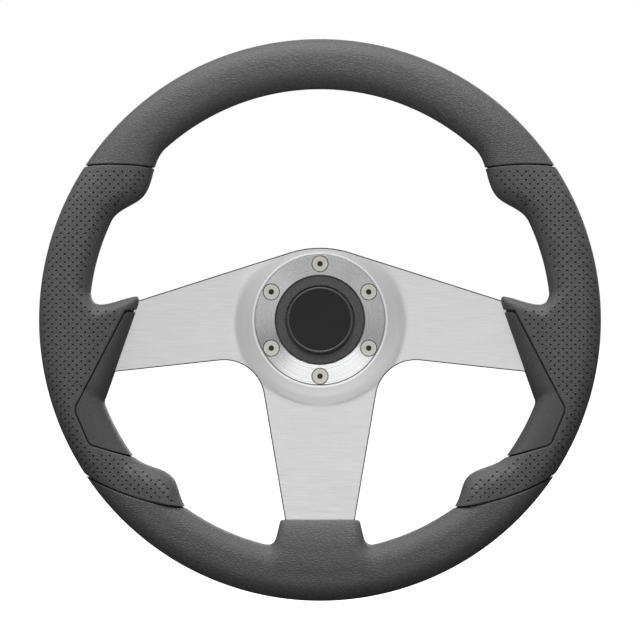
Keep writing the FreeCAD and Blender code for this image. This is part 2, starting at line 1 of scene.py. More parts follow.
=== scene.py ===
# %% [markdown]
# # A boat steering wheel
# The wheel of a small motor boat: soft moulded grips round a steel hoop, a dished spoke plate
# of brushed aluminium, a bright clamp ring with six socket screws and a black centre cap.
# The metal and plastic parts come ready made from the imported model. This lesson gives them
# their finishes, and it builds the soft grips again with rounded seams, pits and fillets.

import math

import bpy
import numpy as np
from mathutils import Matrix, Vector
from mathutils.geometry import delaunay_2d_cdt


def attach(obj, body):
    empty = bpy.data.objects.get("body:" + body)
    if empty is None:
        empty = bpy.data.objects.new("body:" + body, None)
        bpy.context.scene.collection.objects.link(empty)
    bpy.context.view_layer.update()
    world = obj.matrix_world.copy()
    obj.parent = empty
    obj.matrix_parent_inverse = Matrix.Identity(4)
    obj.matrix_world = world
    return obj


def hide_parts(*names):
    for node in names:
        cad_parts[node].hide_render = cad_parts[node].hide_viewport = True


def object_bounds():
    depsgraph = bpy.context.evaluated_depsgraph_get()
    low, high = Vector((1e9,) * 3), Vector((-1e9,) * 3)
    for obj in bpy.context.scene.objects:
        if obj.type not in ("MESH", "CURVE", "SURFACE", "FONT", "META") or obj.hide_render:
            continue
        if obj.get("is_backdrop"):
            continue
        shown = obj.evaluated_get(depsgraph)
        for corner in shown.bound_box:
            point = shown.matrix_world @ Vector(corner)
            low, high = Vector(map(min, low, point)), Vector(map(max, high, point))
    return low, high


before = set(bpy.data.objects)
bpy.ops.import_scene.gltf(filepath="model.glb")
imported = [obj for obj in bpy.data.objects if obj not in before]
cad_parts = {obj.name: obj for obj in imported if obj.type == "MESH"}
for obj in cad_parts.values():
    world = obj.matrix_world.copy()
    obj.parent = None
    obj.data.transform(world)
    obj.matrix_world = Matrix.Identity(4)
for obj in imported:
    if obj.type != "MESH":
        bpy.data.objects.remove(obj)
cad_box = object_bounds()
scene = bpy.context.scene
scene.view_settings.view_transform = "Standard"
print("pieces in the packed model:", len(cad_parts))
print("width and height in mm:", [round((cad_box[1][i] - cad_box[0][i]) * 1000, 1) for i in (0, 2)])

# %% [markdown]
# ## Sizes of the grips
# All sizes here are millimetres and degrees, and they become metres when a mesh is made. The
# wheel's axis is Y and the driver sits on the -Y side. An angle is measured from the X axis.
# A rim spot is an angle and a distance outside the middle of the grip's section, so whatever
# is placed by rim spots follows the rim.

# %% Sizes of the rim, its swellings and seams
MM = 0.001
RIM_LEVEL = -45.6            # the middle plane of the rim, along Y
RIM_OUTER_RADIUS = 175.0
RIM_INNER_RADIUS = 143.8
RIM_HALF_DEPTH = 13.5
SECTION_POWER = 2.35         # 2 is an ellipse, larger is squarer
CROWN_ROUNDING = 0.8         # height over which a fillet is levelled off at the rim's crown
CORE_RADIUS = (RIM_OUTER_RADIUS + RIM_INNER_RADIUS) / 2

# Thumb swellings: middle angle, rise, fade above, fade below
UPPER_SWELL = (35.6, 9.6, 12.5, 10.4)
LOWER_SWELL = (-46.4, 9.6, 10.9, 9.2)
UPPER_SWELL_LEFT = (144.4, 9.6, 10.4, 12.5)

# Each seam is an arc through three rim spots
UPPER_SEAM = ((45.2, -28.7), (37.0, 0.8), (30.1, 27.8))
LOWER_SEAM = ((-57.1, -19.6), (-42.8, 0.9), (-29.4, 21.9))
SEAM_HALF_WIDTH = 0.45
SEAM_DEPTH = 1.3
SEAM_EDGE_RADIUS = 0.5
SEAM_FLOOR_GAP = 0.05        # each piece stops this far short of the seam's middle
SEAM_POINTS = 90             # along each arc


def on_rim(spot):
    """The (x, z) place of a rim spot."""
    angle, distance = math.radians(spot[0]), CORE_RADIUS + spot[1]
    return np.array((distance * math.cos(angle), distance * math.sin(angle)))


def inner_radius(angle, swells):
    """The rim's inner radius at each angle."""
    radius = np.full(np.shape(angle), RIM_INNER_RADIUS)
    for middle, rise, fade_above, fade_below in swells:
        away = angle - middle
        share = np.clip(np.where(away > 0, away / fade_above, away / fade_below), -1, 1)
        radius = radius - rise * np.cos(share * math.pi / 2) ** 2
    return radius


print("inner radius at the upper thumb swelling:", float(inner_radius(35.6, [UPPER_SWELL])))

# %% [markdown]
# ## The grips as forms that melt into each other
# A moulded grip has no edge where its boot runs into the rim: the mould maker rounds that
# valley with a cutter. Boolean modifiers would leave a crease there, and sculpting would drift
# from the measured sizes. Here each form is a function that says how far a point lies outside
# it, and a smooth minimum of two such functions is both forms with a fillet between them.
# The wheel is the same in front and behind its middle plane, so a form only has to answer for
# a height above that plane.

# %% Distance functions of the rim
def smooth_min(first, second, radius):
    """The smaller of two distances, rounded off where they are close."""
    near = np.maximum(radius - np.abs(first - second), 0)
    return np.minimum(first, second) - near ** 2 / (4 * radius)


def smooth_max(first, second, radius):
    """The larger of two distances, rounded off where they are close."""
    return -smooth_min(-first, -second, radius)


def rim_form(x, z, swells):
    """A function of height that gives the distance outside the rim above each plan point."""
    radius = np.hypot(x, z)
    inner = inner_radius(np.degrees(np.arctan2(z, x)), swells)
    half_width = (RIM_OUTER_RADIUS - inner) / 2
    across = np.abs(radius - inner - half_width) / half_width

    def distance(height):
        deep = np.abs(height) / RIM_HALF_DEPTH
        size = (across ** SECTION_POWER + deep ** SECTION_POWER) ** (1 / SECTION_POWER)
        size = np.maximum(size, 1e-6)
        slope_across = (across / size) ** (SECTION_POWER - 1) / half_width
        slope_deep = (deep / size) ** (SECTION_POWER - 1) / RIM_HALF_DEPTH
        return (size - 1) / np.maximum(np.hypot(slope_across, slope_deep), 1e-6)

    return distance


over_crown = rim_form(np.array([CORE_RADIUS]), np.array([0.0]), [])
print("distance outside the rim at its crown:", over_crown(RIM_HALF_DEPTH))

# %% [markdown]
# ## Boot and collar
# The side grips have a boot that swallows the end of the side spoke, with a small horn above a
# round notch for the thumb. The bottom grip has a collar round the end of the lower spoke.
# Both are described by stations, the way a boat's hull is: a row of sections, each a rounded
# rectangle, from the mouth where the spoke goes in to the place where the form is lost in
# the rim.

# %% Stations of the boot and the collar
# Rim spot of the top, rim spot of the bottom, half depth
BOOT_STATIONS = (
    ((6.2, -46.6), (-20.4, -16.7), 4.4),
    ((7.3, -44.9), (-19.9, -15.0), 6.6),
    ((7.0, -41.9), (-19.2, -12.8), 8.9),
    ((6.2, -37.4), (-18.4, -9.7), 10.6),
    ((4.9, -30.5), (-17.4, -5.4), 11.8),
    ((4.1, -23.9), (-16.7, -2.8), 12.5),
    ((4.3, -18.8), (-16.4, -1.5), 12.8),
    ((5.9, -14.6), (-16.1, -0.7), 12.9),
    ((8.3, -6.8), (-15.9, -0.3), 12.7),
    ((8.7, -1.6), (-15.8, 0.1), 12.4),
)
BOOT_CORNER_SHARE = 0.72     # corner radius as a share of the half depth
BOOT_MOUTH_ROUNDING = 3.0
BOOT_BLEND = 3.5

COLLAR_MOUTH = 124.6         # how far below the axis the collar begins
LOWER_SPOKE_HALF_WIDTH = 21.7
# Fall from the mouth, width beyond the spoke's edge, half depth
COLLAR_STATIONS = (
    (0.0, 2.6, 6.0),
    (1.4, 3.3, 7.2),
    (5.5, 4.3, 9.4),
    (10.0, 5.4, 11.0),
    (15.0, 6.6, 12.2),
    (21.0, 7.8, 12.7),
    (28.0, 9.0, 12.4),
)
COLLAR_CORNER_SHARE = 0.6
COLLAR_MOUTH_ROUNDING = 1.6
COLLAR_BLEND = 6.0
STEPS_BETWEEN_STATIONS = 12


def smooth_rows(rows):
    """Rows on a smooth curve through the given rows."""
    rows = np.array(rows, float)
    run = np.vstack([2 * rows[0] - rows[1], rows, 2 * rows[-1] - rows[-2]])
    share = np.linspace(0, 1, STEPS_BETWEEN_STATIONS, endpoint=False)[:, None]
    fine = []
    for a, b, c, d in zip(run, run[1:], run[2:], run[3:]):
        cubic = (3 * (b - c) + d - a) * share ** 3
        square = (2 * a - 5 * b + 4 * c - d) * share ** 2
        fine.append((cubic + square + (c - a) * share) / 2 + b)
    return np.vstack(fine + [rows[-1:]])


BOOT_ROWS = smooth_rows([(*on_rim(top), *on_rim(low), deep) for top, low, deep in BOOT_STATIONS])
COLLAR_ROWS = smooth_rows(COLLAR_STATIONS)
print("rows along the boot and the collar:", len(BOOT_ROWS), len(COLLAR_ROWS))

# %% Distance functions of the boot and the collar
def rounded_bar(along, half_length, half_depth, corner, height):
    """Distance outside a rounded rectangle whose short side is the height."""
    over_length = along - half_length + corner
    over_depth = np.abs(height) - half_depth + corner
    outside = np.hypot(np.maximum(over_length, 0), np.maximum(over_depth, 0))
    return outside + np.minimum(np.maximum(over_length, over_depth), 0) - corner


def boot_form(x, z):
    """A function of height that gives the distance outside the boot of the right grip."""
    tops, lows = BOOT_ROWS[:, :2], BOOT_ROWS[:, 2:4]
    down = (lows - tops) / np.linalg.norm(lows - tops, axis=1)[:, None]
    outward = np.stack([-down[:, 1], down[:, 0]], axis=1)
    past = np.outer(x, outward[:, 0]) + np.outer(z, outward[:, 1])
    past -= np.sum(tops * outward, axis=1)
    last = len(BOOT_ROWS) - 1
    passed = past > 0
    ahead = np.where(passed.all(axis=1), last, np.argmin(passed, axis=1))
    ahead = np.clip(ahead, 1, last)
    spot = np.arange(len(x))
    before, after = past[spot, ahead - 1], past[spot, ahead]
    share = np.clip(before / np.maximum(before - after, 1e-9), 0, 1)[:, None]
    row = BOOT_ROWS[ahead - 1] * (1 - share) + BOOT_ROWS[ahead] * share
    middle = (row[:, :2] + row[:, 2:4]) / 2
    span = row[:, 2:4] - row[:, :2]
    half_length = np.linalg.norm(span, axis=1) / 2
    along = np.abs((x - middle[:, 0]) * span[:, 0] + (z - middle[:, 1]) * span[:, 1])
    along /= 2 * half_length
    half_depth = row[:, 4]

    def distance(height):
        bar = rounded_bar(along, half_length, half_depth, half_depth * BOOT_CORNER_SHARE, height)
        return np.maximum(smooth_max(bar, -past[:, 0], BOOT_MOUTH_ROUNDING), past[:, last])

    return distance


def collar_form(x, z):
    """A function of height that gives the distance outside the collar of the bottom grip."""
    fall = -z - COLLAR_MOUTH
    beyond = np.interp(fall, COLLAR_ROWS[:, 0], COLLAR_ROWS[:, 1])
    half_depth = np.interp(fall, COLLAR_ROWS[:, 0], COLLAR_ROWS[:, 2])
    half_length = LOWER_SPOKE_HALF_WIDTH + beyond

    def distance(height):
        corner = half_depth * COLLAR_CORNER_SHARE
        bar = rounded_bar(np.abs(x), half_length, half_depth, corner, height)
        end = fall - COLLAR_STATIONS[-1][0]
        return np.maximum(smooth_max(bar, -fall, COLLAR_MOUTH_ROUNDING), end)

    return distance


def level_off(distance, height):
    """Keeps a fillet between two forms from rising above the rim's crown."""
    return smooth_max(distance, height - RIM_HALF_DEPTH, CROWN_ROUNDING)


def side_form(x, z):
    """The right grip's whole form."""
    rim, boot = rim_form(x, z, (UPPER_SWELL, LOWER_SWELL)), boot_form(x, z)
    return lambda height: level_off(smooth_min(rim(height), boot(height), BOOT_BLEND), height)


def top_form(x, z):
    """The top grip's whole form."""
    return rim_form(x, z, (UPPER_SWELL, UPPER_SWELL_LEFT))


def bottom_form(x, z):
    """The bottom grip's whole form."""
    rim, collar = rim_form(x, z, ()), collar_form(x, z)
    return lambda height: level_off(smooth_min(rim(height), collar(height), COLLAR_BLEND), height)


corner = np.array([[118.0, -10.0]])
print("half depth of the boot near its mouth:", side_form(*corner.T)(0.0))

# %% [markdown]
# ## Seams
# Where two mouldings meet there is a groove, and the edge of each skin rolls down into it.
# A dark line painted on would vanish at a slanting view. So each piece is sunk below its plain
# form as it comes near a seam: a small quarter round, then a steep wall, then the floor of the
# groove. The same rule goes all the way round the grip, so the groove can be felt on the back.

# %% Cuts between the pieces
class ArcCut:
    """A seam along an arc. Its side is 1 where the piece lies outside the arc's circle."""

    def __init__(self, seam, side):
        first, middle, last = (on_rim(spot) for spot in seam)
        rows = np.array([2 * (middle - first), 2 * (last - first)])
        sums = [middle @ middle - first @ first, last @ last - first @ first]
        self.centre = np.linalg.solve(rows, sums)
        self.radius = np.linalg.norm(first - self.centre)
        self.side = side
        self.ends = [math.atan2(*(spot - self.centre)[::-1]) for spot in (first, last)]
        self.extra_rows = ()

    def inside(self, x, z):
        """Distance from the seam's middle, positive on the piece's side."""
        away = np.hypot(x - self.centre[0], z - self.centre[1]) - self.radius
        return away * self.side

    def half_width(self, z):
        """From the seam's middle to its wall."""
        return SEAM_HALF_WIDTH

    def line(self, offset):
        """The seam's line moved into the piece."""
        start, end = self.ends
        start += (start < end) * 2 * math.pi * (abs(start - end) > math.pi)
        end += (end < start) * 2 * math.pi * (abs(start - end) > math.pi)
        turn = np.linspace(start, end, SEAM_POINTS)
        radius = self.radius + self.side * offset
        rows = np.stack([np.cos(turn), np.sin(turn)], axis=1) * radius
        return rows + self.centre


upper_cut = ArcCut(UPPER_SEAM, 1)
lower_cut = ArcCut(LOWER_SEAM, 1)
print("radii of the seams:", round(upper_cut.radius, 1), round(lower_cut.radius, 1))

# %% [markdown]
# ## The insert's outline
# A wedge of smoother material is let into each side grip, just under the horn. It is moulded
# separately, so it has a seam all round. Its outline is a polygon with rounded corners that
# cuts straight through the grip. Two of its corners lie out in the open, beyond the grip. The
# insert's upper end is moulded a little short, so the groove under the horn is wider.

# %% Outline of the insert
INSERT_CORNERS = ((3.4, -59.2), (2.8, -38.7), (-20.0, 2.6), (-28.4, 3.1), (-37.6, -17.9))
INSERT_RADII = (0.0, 1.5, 7.0, 6.0, 0.0)
OUTLINE_STEP = 0.8
CORNER_POINTS = 12
TOP_GAP = 0.7                # extra width of the groove under the horn
TOP_GAP_START = 2.6          # below the insert's upper end
TOP_GAP_RISE = 1.2           # height over which the groove widens from there
TOP_GAP_ROWS = (1.05, 1.12, 1.2, 1.35)  # more rows of points, beside that wider groove
BATCH = 500                  # points that are measured at a time, to save memory


def side_lengths(points):
    """How far it is from each point of a closed row to the next."""
    return np.array([np.linalg.norm(side) for side in np.roll(points, -1, axis=0) - points])


def subdivided(points, counts):
    """A closed row of points with each side cut into so many equal parts, at least one."""
    rows = []
    for start, end, count in zip(points, np.roll(points, -1, axis=0), counts):
        count = max(1, int(count))
        rows += [start + (end - start) * i / count for i in range(count)]
    return np.array(rows)


def ways_out(points, blunting=0.0):
    """For each point of a closed row, the step out that goes 1 mm from both sides there.

    Blunting of 1 keeps the step short where a corner turns by more than a right angle.
    """
    following = np.roll(points, -1, axis=0)
    ahead = following - points
    ahead /= np.maximum(np.linalg.norm(ahead, axis=1)[:, None], 1e-9)
    walls = np.stack([ahead[:, 1], -ahead[:, 0]], axis=1)
    if np.sum(points[:, 0] * following[:, 1] - following[:, 0] * points[:, 1]) < 0:
        walls = -walls
    outward = walls + np.roll(walls, 1, axis=0)
    return outward / np.maximum((outward ** 2).sum(1)[:, None] / 2, blunting)


def rounded_outline(corners, radii):
    """Closely spaced points round a polygon whose corners are rounded."""
    points = []
    for i, radius in enumerate(radii):
        here = corners[i]
        back = corners[i - 1] - here
        ahead = corners[(i + 1) % len(corners)] - here
        back, ahead = back / np.linalg.norm(back), ahead / np.linalg.norm(ahead)
        half = math.acos(back @ ahead) / 2
        middle = (back + ahead) / np.linalg.norm(back + ahead)
        centre = here + middle * radius / math.sin(half)
        turns = np.linspace(half - math.pi / 2, math.pi / 2 - half, CORNER_POINTS if radius else 1)
        for turn in turns:
            side = (ahead - back) / np.linalg.norm(ahead - back)
            points.append(centre + radius * (side * math.sin(turn) - middle * math.cos(turn)))
    points = np.array(points)
    return subdivided(points, np.ceil(side_lengths(points) / OUTLINE_STEP))


class OutlineCut:
    """The seam round the insert. Its side is 1 for the grip outside and -1 for the insert."""

    def __init__(self, side):
        self.points = rounded_outline([on_rim(spot) for spot in INSERT_CORNERS], INSERT_RADII)
        self.side = side
        self.extra_rows = TOP_GAP_ROWS if side < 0 else ()
        self.outward = ways_out(self.points)

    def inside(self, x, z):
        """Distance from the outline, positive on the piece's side."""
        parts = np.array_split(np.stack([x, z]), 1 + len(x) // BATCH, axis=1)
        return np.concatenate([self.outside(*part) for part in parts]) * self.side

    def half_width(self, z):
        """From the seam's middle to its wall, more at the insert's upper end."""
        upper_end = on_rim(INSERT_CORNERS[1])[1]
        near_end = np.clip((z - upper_end + TOP_GAP_START) / TOP_GAP_RISE, 0, 1)
        return SEAM_HALF_WIDTH + TOP_GAP * near_end * (self.side < 0)

    def outside(self, x, z):
        """Distance outside the outline, for one batch of points."""
        start, end = self.points, np.roll(self.points, -1, axis=0)
        run = end - start
        to_x, to_z = x[:, None] - start[:, 0], z[:, None] - start[:, 1]
        share = np.clip((to_x * run[:, 0] + to_z * run[:, 1]) / np.sum(run * run, axis=1), 0, 1)
        near = np.hypot(to_x - share * run[:, 0], to_z - share * run[:, 1]).min(axis=1)
        above = (start[:, 1] > z[:, None]) != (end[:, 1] > z[:, None])
        flat = np.where(run[:, 1] == 0, 1e-12, run[:, 1])
        crossed = above & (to_x < to_z * run[:, 0] / flat)
        return np.where(crossed.sum(axis=1) % 2 == 1, -near, near)

    def line(self, offset):
        """The outline moved into the piece."""
        moved = self.points + self.outward * offset * self.side
        return np.vstack([moved, moved[:1]])


insert_cut = OutlineCut(1)
probe = on_rim((-20.0, -20.0))
print("a point in the insert lies outside it by:", insert_cut.inside(probe[:1], probe[1:]))

# %% [markdown]
# ## From form to mesh
# The wheel's grips have flat fields and steep flanks, so an even grid seen from the front would
# leave long stretched faces on the flanks, and a voxel remesh would soften the seams. Instead
# the points are laid out in the wheel's plane: rows that crowd together towards the outline,
# rows beside each seam, and a loose grid in between. A constrained triangulation joins them.
# Each point is then raised to the form's surface, once towards the driver and once away.

# %% Sinking into the seams
SEAM_WALL_WIDTH = 0.06
SEARCH_RADIUS = 95           # the search for a grip's inner edge goes outwards from here
SEARCH_POINTS = 800
CORRECTIONS = 3              # steps that bring a point back onto the edge


def seam_distance(cuts, points):
    """How far each point lies from the nearest seam, positive on the piece's side."""
    return np.min([cut.inside(*points.T) for cut in cuts], axis=0)


def sink(cuts, x, z):
    """How far a piece lies below its plain form beside its seams."""
    away = np.min([cut.inside(x, z) - cut.half_width(z) for cut in cuts], axis=0)
    roll = SEAM_EDGE_RADIUS - np.clip(away, 0, SEAM_EDGE_RADIUS)
    rounding = SEAM_EDGE_RADIUS - np.sqrt(SEAM_EDGE_RADIUS ** 2 - roll ** 2)
    wall = np.clip(-away / SEAM_WALL_WIDTH, 0, 1)
    return rounding + wall * (SEAM_DEPTH - SEAM_EDGE_RADIUS)


def depth_inside(form, cuts, points):
    """How far each point of the middle plane lies inside the sunk form."""
    return -(form(*points.T)(0.0) + sink(cuts, *points.T))


def slope_of(form, point):
    """The distance at a point of the middle plane, and which way it grows."""
    step = 0.01
    x = point[0] + np.array([0, step, -step, 0, 0])
    z = point[1] + np.array([0, 0, 0, step, -step])
    away = form(x, z)(0.0)
    return away[0], np.array([away[1] - away[2], away[3] - away[4]]) / (2 * step)


def inner_edge(form, start_angle, end_angle, step=0.9):
    """The form's inner edge in the middle plane, clockwise, with its inward directions."""
    turn = math.radians(start_angle)
    radius = np.linspace(SEARCH_RADIUS, CORE_RADIUS, SEARCH_POINTS)
    first = np.argmax(form(radius * math.cos(turn), radius * math.sin(turn))(0.0) < 0)
    point = np.array([math.cos(turn), math.sin(turn)]) * radius[first]
    points, inward = [], []
    while math.degrees(math.atan2(point[1], point[0])) > end_angle:
        for _ in range(CORRECTIONS):
            away, slope = slope_of(form, point)
            point = point - away * slope / (slope @ slope)
        slope = slope_of(form, point)[1]
        slope /= np.linalg.norm(slope)
        points.append(point)
        inward.append(-slope)
        point = point + step * np.array([-slope[1], slope[0]])
    return np.array(points), np.array(inward)


def outer_edge(start_angle, end_angle, step=1.3):
    """The rim's outer edge in the middle plane, with its inward directions."""
    span = math.radians(start_angle - end_angle)
    count = round(span * RIM_OUTER_RADIUS / step)
    turn = np.linspace(math.radians(start_angle), math.radians(end_angle), count)
    outward = np.stack([np.cos(turn), np.sin(turn)], axis=1)
    return outward * RIM_OUTER_RADIUS, -outward


right_edge = inner_edge(side_form, 48.5, -60.0)
print("points along the inner edge of the right grip:", len(right_edge[0]))

# %% Rows of points that follow the outline
# How far inwards from the outline the rows lie whose points are joined, and the loose ones
EDGE_ROWS = (0.0, 0.02, 0.08, 0.22, 0.45, 0.8, 1.3)
LOOSE_ROWS = (2.0, 2.9, 4.0, 5.4)
# Nearer to a seam than the first number, an edge's points stand no further apart than the second
CROWDING = ((1.9, 0.16), (1.12, 0.05))
# How far inwards from an edge the form is probed, close together near the edge
PROBES = np.concatenate([np.arange(-0.4, 3.2, 0.06), np.arange(3.2, 9.0, 0.3)])


def crowded(points, inward, cuts):
    """The same edge with many more points where it dips into a seam."""
    both = np.hstack([points, inward])
    for reach, step in CROWDING:
        away = np.min([np.abs(cut.inside(*both[:, :2].T)) for cut in cuts], axis=0)
        close = np.minimum(away, np.roll(away, -1)) < reach
        counts = close * np.ceil(side_lengths(both[:, :2]) / step)
        counts[-1] = 1  # an edge is an open row, so the side that would close it stays whole
        both = subdivided(both, counts)
    inward = both[:, 2:] / np.linalg.norm(both[:, 2:], axis=1)[:, None]
    return both[:, :2], inward


def outline_rows(form, cuts, edge, depths):
    """For each depth, the points that lie that far inside the sunk form's outline."""
    points, inward = crowded(*edge, cuts)
    fan = points[:, None, :] + inward[:, None, :] * PROBES[None, :, None]
    inside = depth_inside(form, cuts, fan.reshape(-1, 2)).reshape(len(points), -1)
    # The small slope keeps each row rising, without which interp can't read it
    inside = np.maximum.accumulate(inside, axis=1) + PROBES * 1e-7
    rows = []
    for depth in depths:
        reach = np.array([np.interp(depth, line, PROBES) for line in inside])
        rows.append(points + inward * reach[:, None])
    return rows


print("rows that follow each outline:", len(EDGE_ROWS) + len(LOOSE_ROWS))

# %% Thinning and pitting
PIT_RADIUS = 0.8
PIT_DEPTH = 0.75
PIT_RINGS = ((0.5, 6), (0.8, 8), (1.0, 8))  # share of the radius, points round
PIT_FILL = 0.98              # the hollow's share of the radius, so that its edge is on a ring
NO_PITS = np.zeros((0, 2))


def nearest(points, others):
    """How far each point lies from the nearest of the others."""
    away = []
    for part in np.array_split(points, 1 + len(points) // BATCH):
        apart = np.hypot(part[:, None, 0] - others[:, 0], part[:, None, 1] - others[:, 1])
        away.append(apart.min(axis=1))
    return np.concatenate(away)


def far_from(points, kept, gap):
    """Those of the points that keep a gap from every point in kept."""
    return points[nearest(points, kept) > gap] if len(kept) else points


def thinned(points, gap):
    """A row of points without those that follow too closely."""
    kept = [points[0]]
    for point in points[1:]:
        if np.linalg.norm(point - kept[-1]) >= gap:
            kept.append(point)
    return np.array(kept)


def pit_rings(pits):
    """Points that draw each pit: its centre and three rings."""
    shape = [(0.0, 0.0)]
    for radius, count in PIT_RINGS:
        turn = np.arange(count) * 2 * math.pi / count
        shape += list(np.stack([np.cos(turn), np.sin(turn)], axis=1) * radius * PIT_RADIUS)
    return (pits[:, None, :] + np.array(shape)[None]).reshape(-1, 2)


def pit_depth(spots, pits):
    """How deep each point lies in a pit."""
    if len(pits) == 0:
        return np.zeros(len(spots))
    share = np.clip(nearest(spots, pits) / (PIT_RADIUS * PIT_FILL), 0, 1)
    return PIT_DEPTH * (1 - share ** 4)


print("depth of a pit at its centre:", pit_depth(np.zeros((1, 2)), np.zeros((1, 2))))

# %% Laying out a piece's points
# Distances from a seam's middle of the rows beside it, in mm
SEAM_ROWS = (SEAM_FLOOR_GAP, 0.39, 0.45, 0.50, 0.60, 0.75, 0.95, 1.6)
PAST_SEAM = 0.5              # rows run on this far past a seam's middle
PAST_OUTLINE = 1.2           # and a seam's rows this far past the outline
LOOSE_STEP = 1.3             # between the points of a loose row
CLEAR_OF_SEAM = 1.6          # loose points keep this far from the seams
CLEAR_OF_OUTLINE = 1.6       # and the grid this far from the outline
LOOSE_DEPTH = 1.5            # a loose row's points lie at least this deep in the sunk form
LOOSE_GAPS = (0.5, 0.7)      # from a loose row to the joined points, and to other loose ones
GRID_GAPS = (1.0, 0.62)      # from the grid to both, the second in grid steps
PIT_GAP = 1.2                # pits keep this far from the joined rows
GRID_REACH = 180             # the grid covers the wheel


def split_runs(points, keep):
    """The stretches of a row whose points are all wanted."""
    ends = np.flatnonzero(np.diff(np.concatenate([[0], keep.astype(int), [0]])))
    return [points[a:b] for a, b in zip(ends[::2], ends[1::2]) if b - a > 1]


def rows_of(form, cuts, edges):
    """Runs of points to be joined, each with whether it is the outline, and the loose rows."""
    chains, loose = [], []
    for edge in edges:
        for number, row in enumerate(outline_rows(form, cuts, edge, EDGE_ROWS + LOOSE_ROWS)):
            keep = seam_distance(cuts, row) > -PAST_SEAM
            if number < len(EDGE_ROWS):
                chains += [(run, number == 0) for run in split_runs(row, keep)]
            elif keep.any():
                loose.append(thinned(row[keep], LOOSE_STEP))
    for cut in cuts:
        others = [other for other in cuts if other is not cut]
        for offset in SEAM_ROWS + cut.extra_rows:
            row = cut.line(offset)
            keep = form(*row.T)(0.0) < PAST_OUTLINE
            if others:
                keep &= seam_distance(others, row) > -PAST_SEAM
            chains += [(run, False) for run in split_runs(row, keep)]
    return chains, loose


def loose_points(form, cuts, fixed, loose, rings, grid_step):
    """The points between the joined rows: rings round the pits, loose rows and a grid."""
    for row in loose:
        row = row[seam_distance(cuts, row) > CLEAR_OF_SEAM]
        row = row[depth_inside(form, cuts, row) > LOOSE_DEPTH]
        row = far_from(row, fixed, LOOSE_GAPS[0])
        rings = np.vstack([rings, far_from(row, rings, LOOSE_GAPS[1])])
    span = np.arange(-GRID_REACH, GRID_REACH, grid_step)
    grid = np.stack(np.meshgrid(span, span), axis=-1)
    grid[1::2, :, 0] += grid_step / 2
    grid = grid.reshape(-1, 2)
    grid = grid[form(*grid.T)(0.0) < -CLEAR_OF_OUTLINE]
    grid = grid[seam_distance(cuts, grid) > CLEAR_OF_SEAM]
    grid = far_from(far_from(grid, fixed, GRID_GAPS[0]), rings, grid_step * GRID_GAPS[1])
    return np.vstack([rings, grid])


print("rows beside each seam:", len(SEAM_ROWS))

# %% Triangulating and raising a piece
SAME_PLACE = 1e-4            # mm, points this close are one
SLIVER = 0.03                # mm, triangles this near to the end of a seam's floor are left out
HALVINGS = 34                # of the height in which a surface is looked for
HEADROOM = 2.5               # that height goes this far beyond the rim's own
GROOVE_FADE = 0.4            # painted shade grows over this depth, from where the seam's wall begins


def raised(form, cuts, x, z):
    """The height of the sunk form above each plan point."""
    distance, down = form(x, z), sink(cuts, x, z)
    low, high = np.zeros(len(x)), np.full(len(x), RIM_HALF_DEPTH + HEADROOM)
    for _ in range(HALVINGS):
        middle = (low + high) / 2
        under = distance(middle) + down < 0
        low, high = np.where(under, middle, low), np.where(under, high, middle)
    return low


def triangulated(chains, free):
    """The triangles over runs and free points, and which points lie on the outline."""
    links, outline_links, start = [], set(), 0
    for run, on_outline in chains:
        if on_outline:
            outline_links.update(range(len(links), len(links) + len(run) - 1))
        links += [(start + i, start + i + 1) for i in range(len(run) - 1)]
        start += len(run)
    points = [Vector(point) for point in np.vstack([run for run, _ in chains] + [free])]
    spots, sides, faces, _, origins, _ = delaunay_2d_cdt(points, links, [], 0, SAME_PLACE, True)
    on_edge = np.zeros(len(spots), bool)
    for side, origin in zip(sides, origins):
        if outline_links.intersection(origin):
            on_edge[list(side)] = True
    return np.array([(spot.x, spot.y) for spot in spots]), np.array(faces), on_edge


def grip_plan(form, cuts, edges, pits, grid_step):
    """Triangles in the wheel's plane, with each point's height and how hollow it lies."""
    chains, loose = rows_of(form, cuts, edges)
    fixed = np.vstack([run for run, _ in chains])
    pits = far_from(pits, fixed, PIT_GAP)
    free = loose_points(form, cuts, fixed, loose, pit_rings(pits), grid_step)
    spots, faces, on_edge = triangulated(chains, free)
    middle = spots[faces].mean(axis=1)
    keep = depth_inside(form, cuts, middle) > 0
    keep &= seam_distance(cuts, middle) > SEAM_FLOOR_GAP + SLIVER
    faces = faces[keep]
    first, second, third = (spots[faces[:, i]] for i in range(3))
    turn = np.cross(second - first, third - first)
    faces[turn < 0] = faces[turn < 0][:, ::-1]
    heights = raised(form, cuts, *spots.T)
    heights[on_edge] = 0
    pitted = pit_depth(spots, pits) * (heights > 0)
    groove = np.clip((sink(cuts, *spots.T) - SEAM_EDGE_RADIUS) / GROOVE_FADE, 0, 1)
    return spots, faces, heights - pitted, np.maximum(pitted / PIT_DEPTH, groove)


print("heights are found to within mm:", (RIM_HALF_DEPTH + HEADROOM) / 2 ** HALVINGS)

# %% Closing a piece
SHARP_ANGLE = 55             # degrees between faces from which an edge is shaded sharp


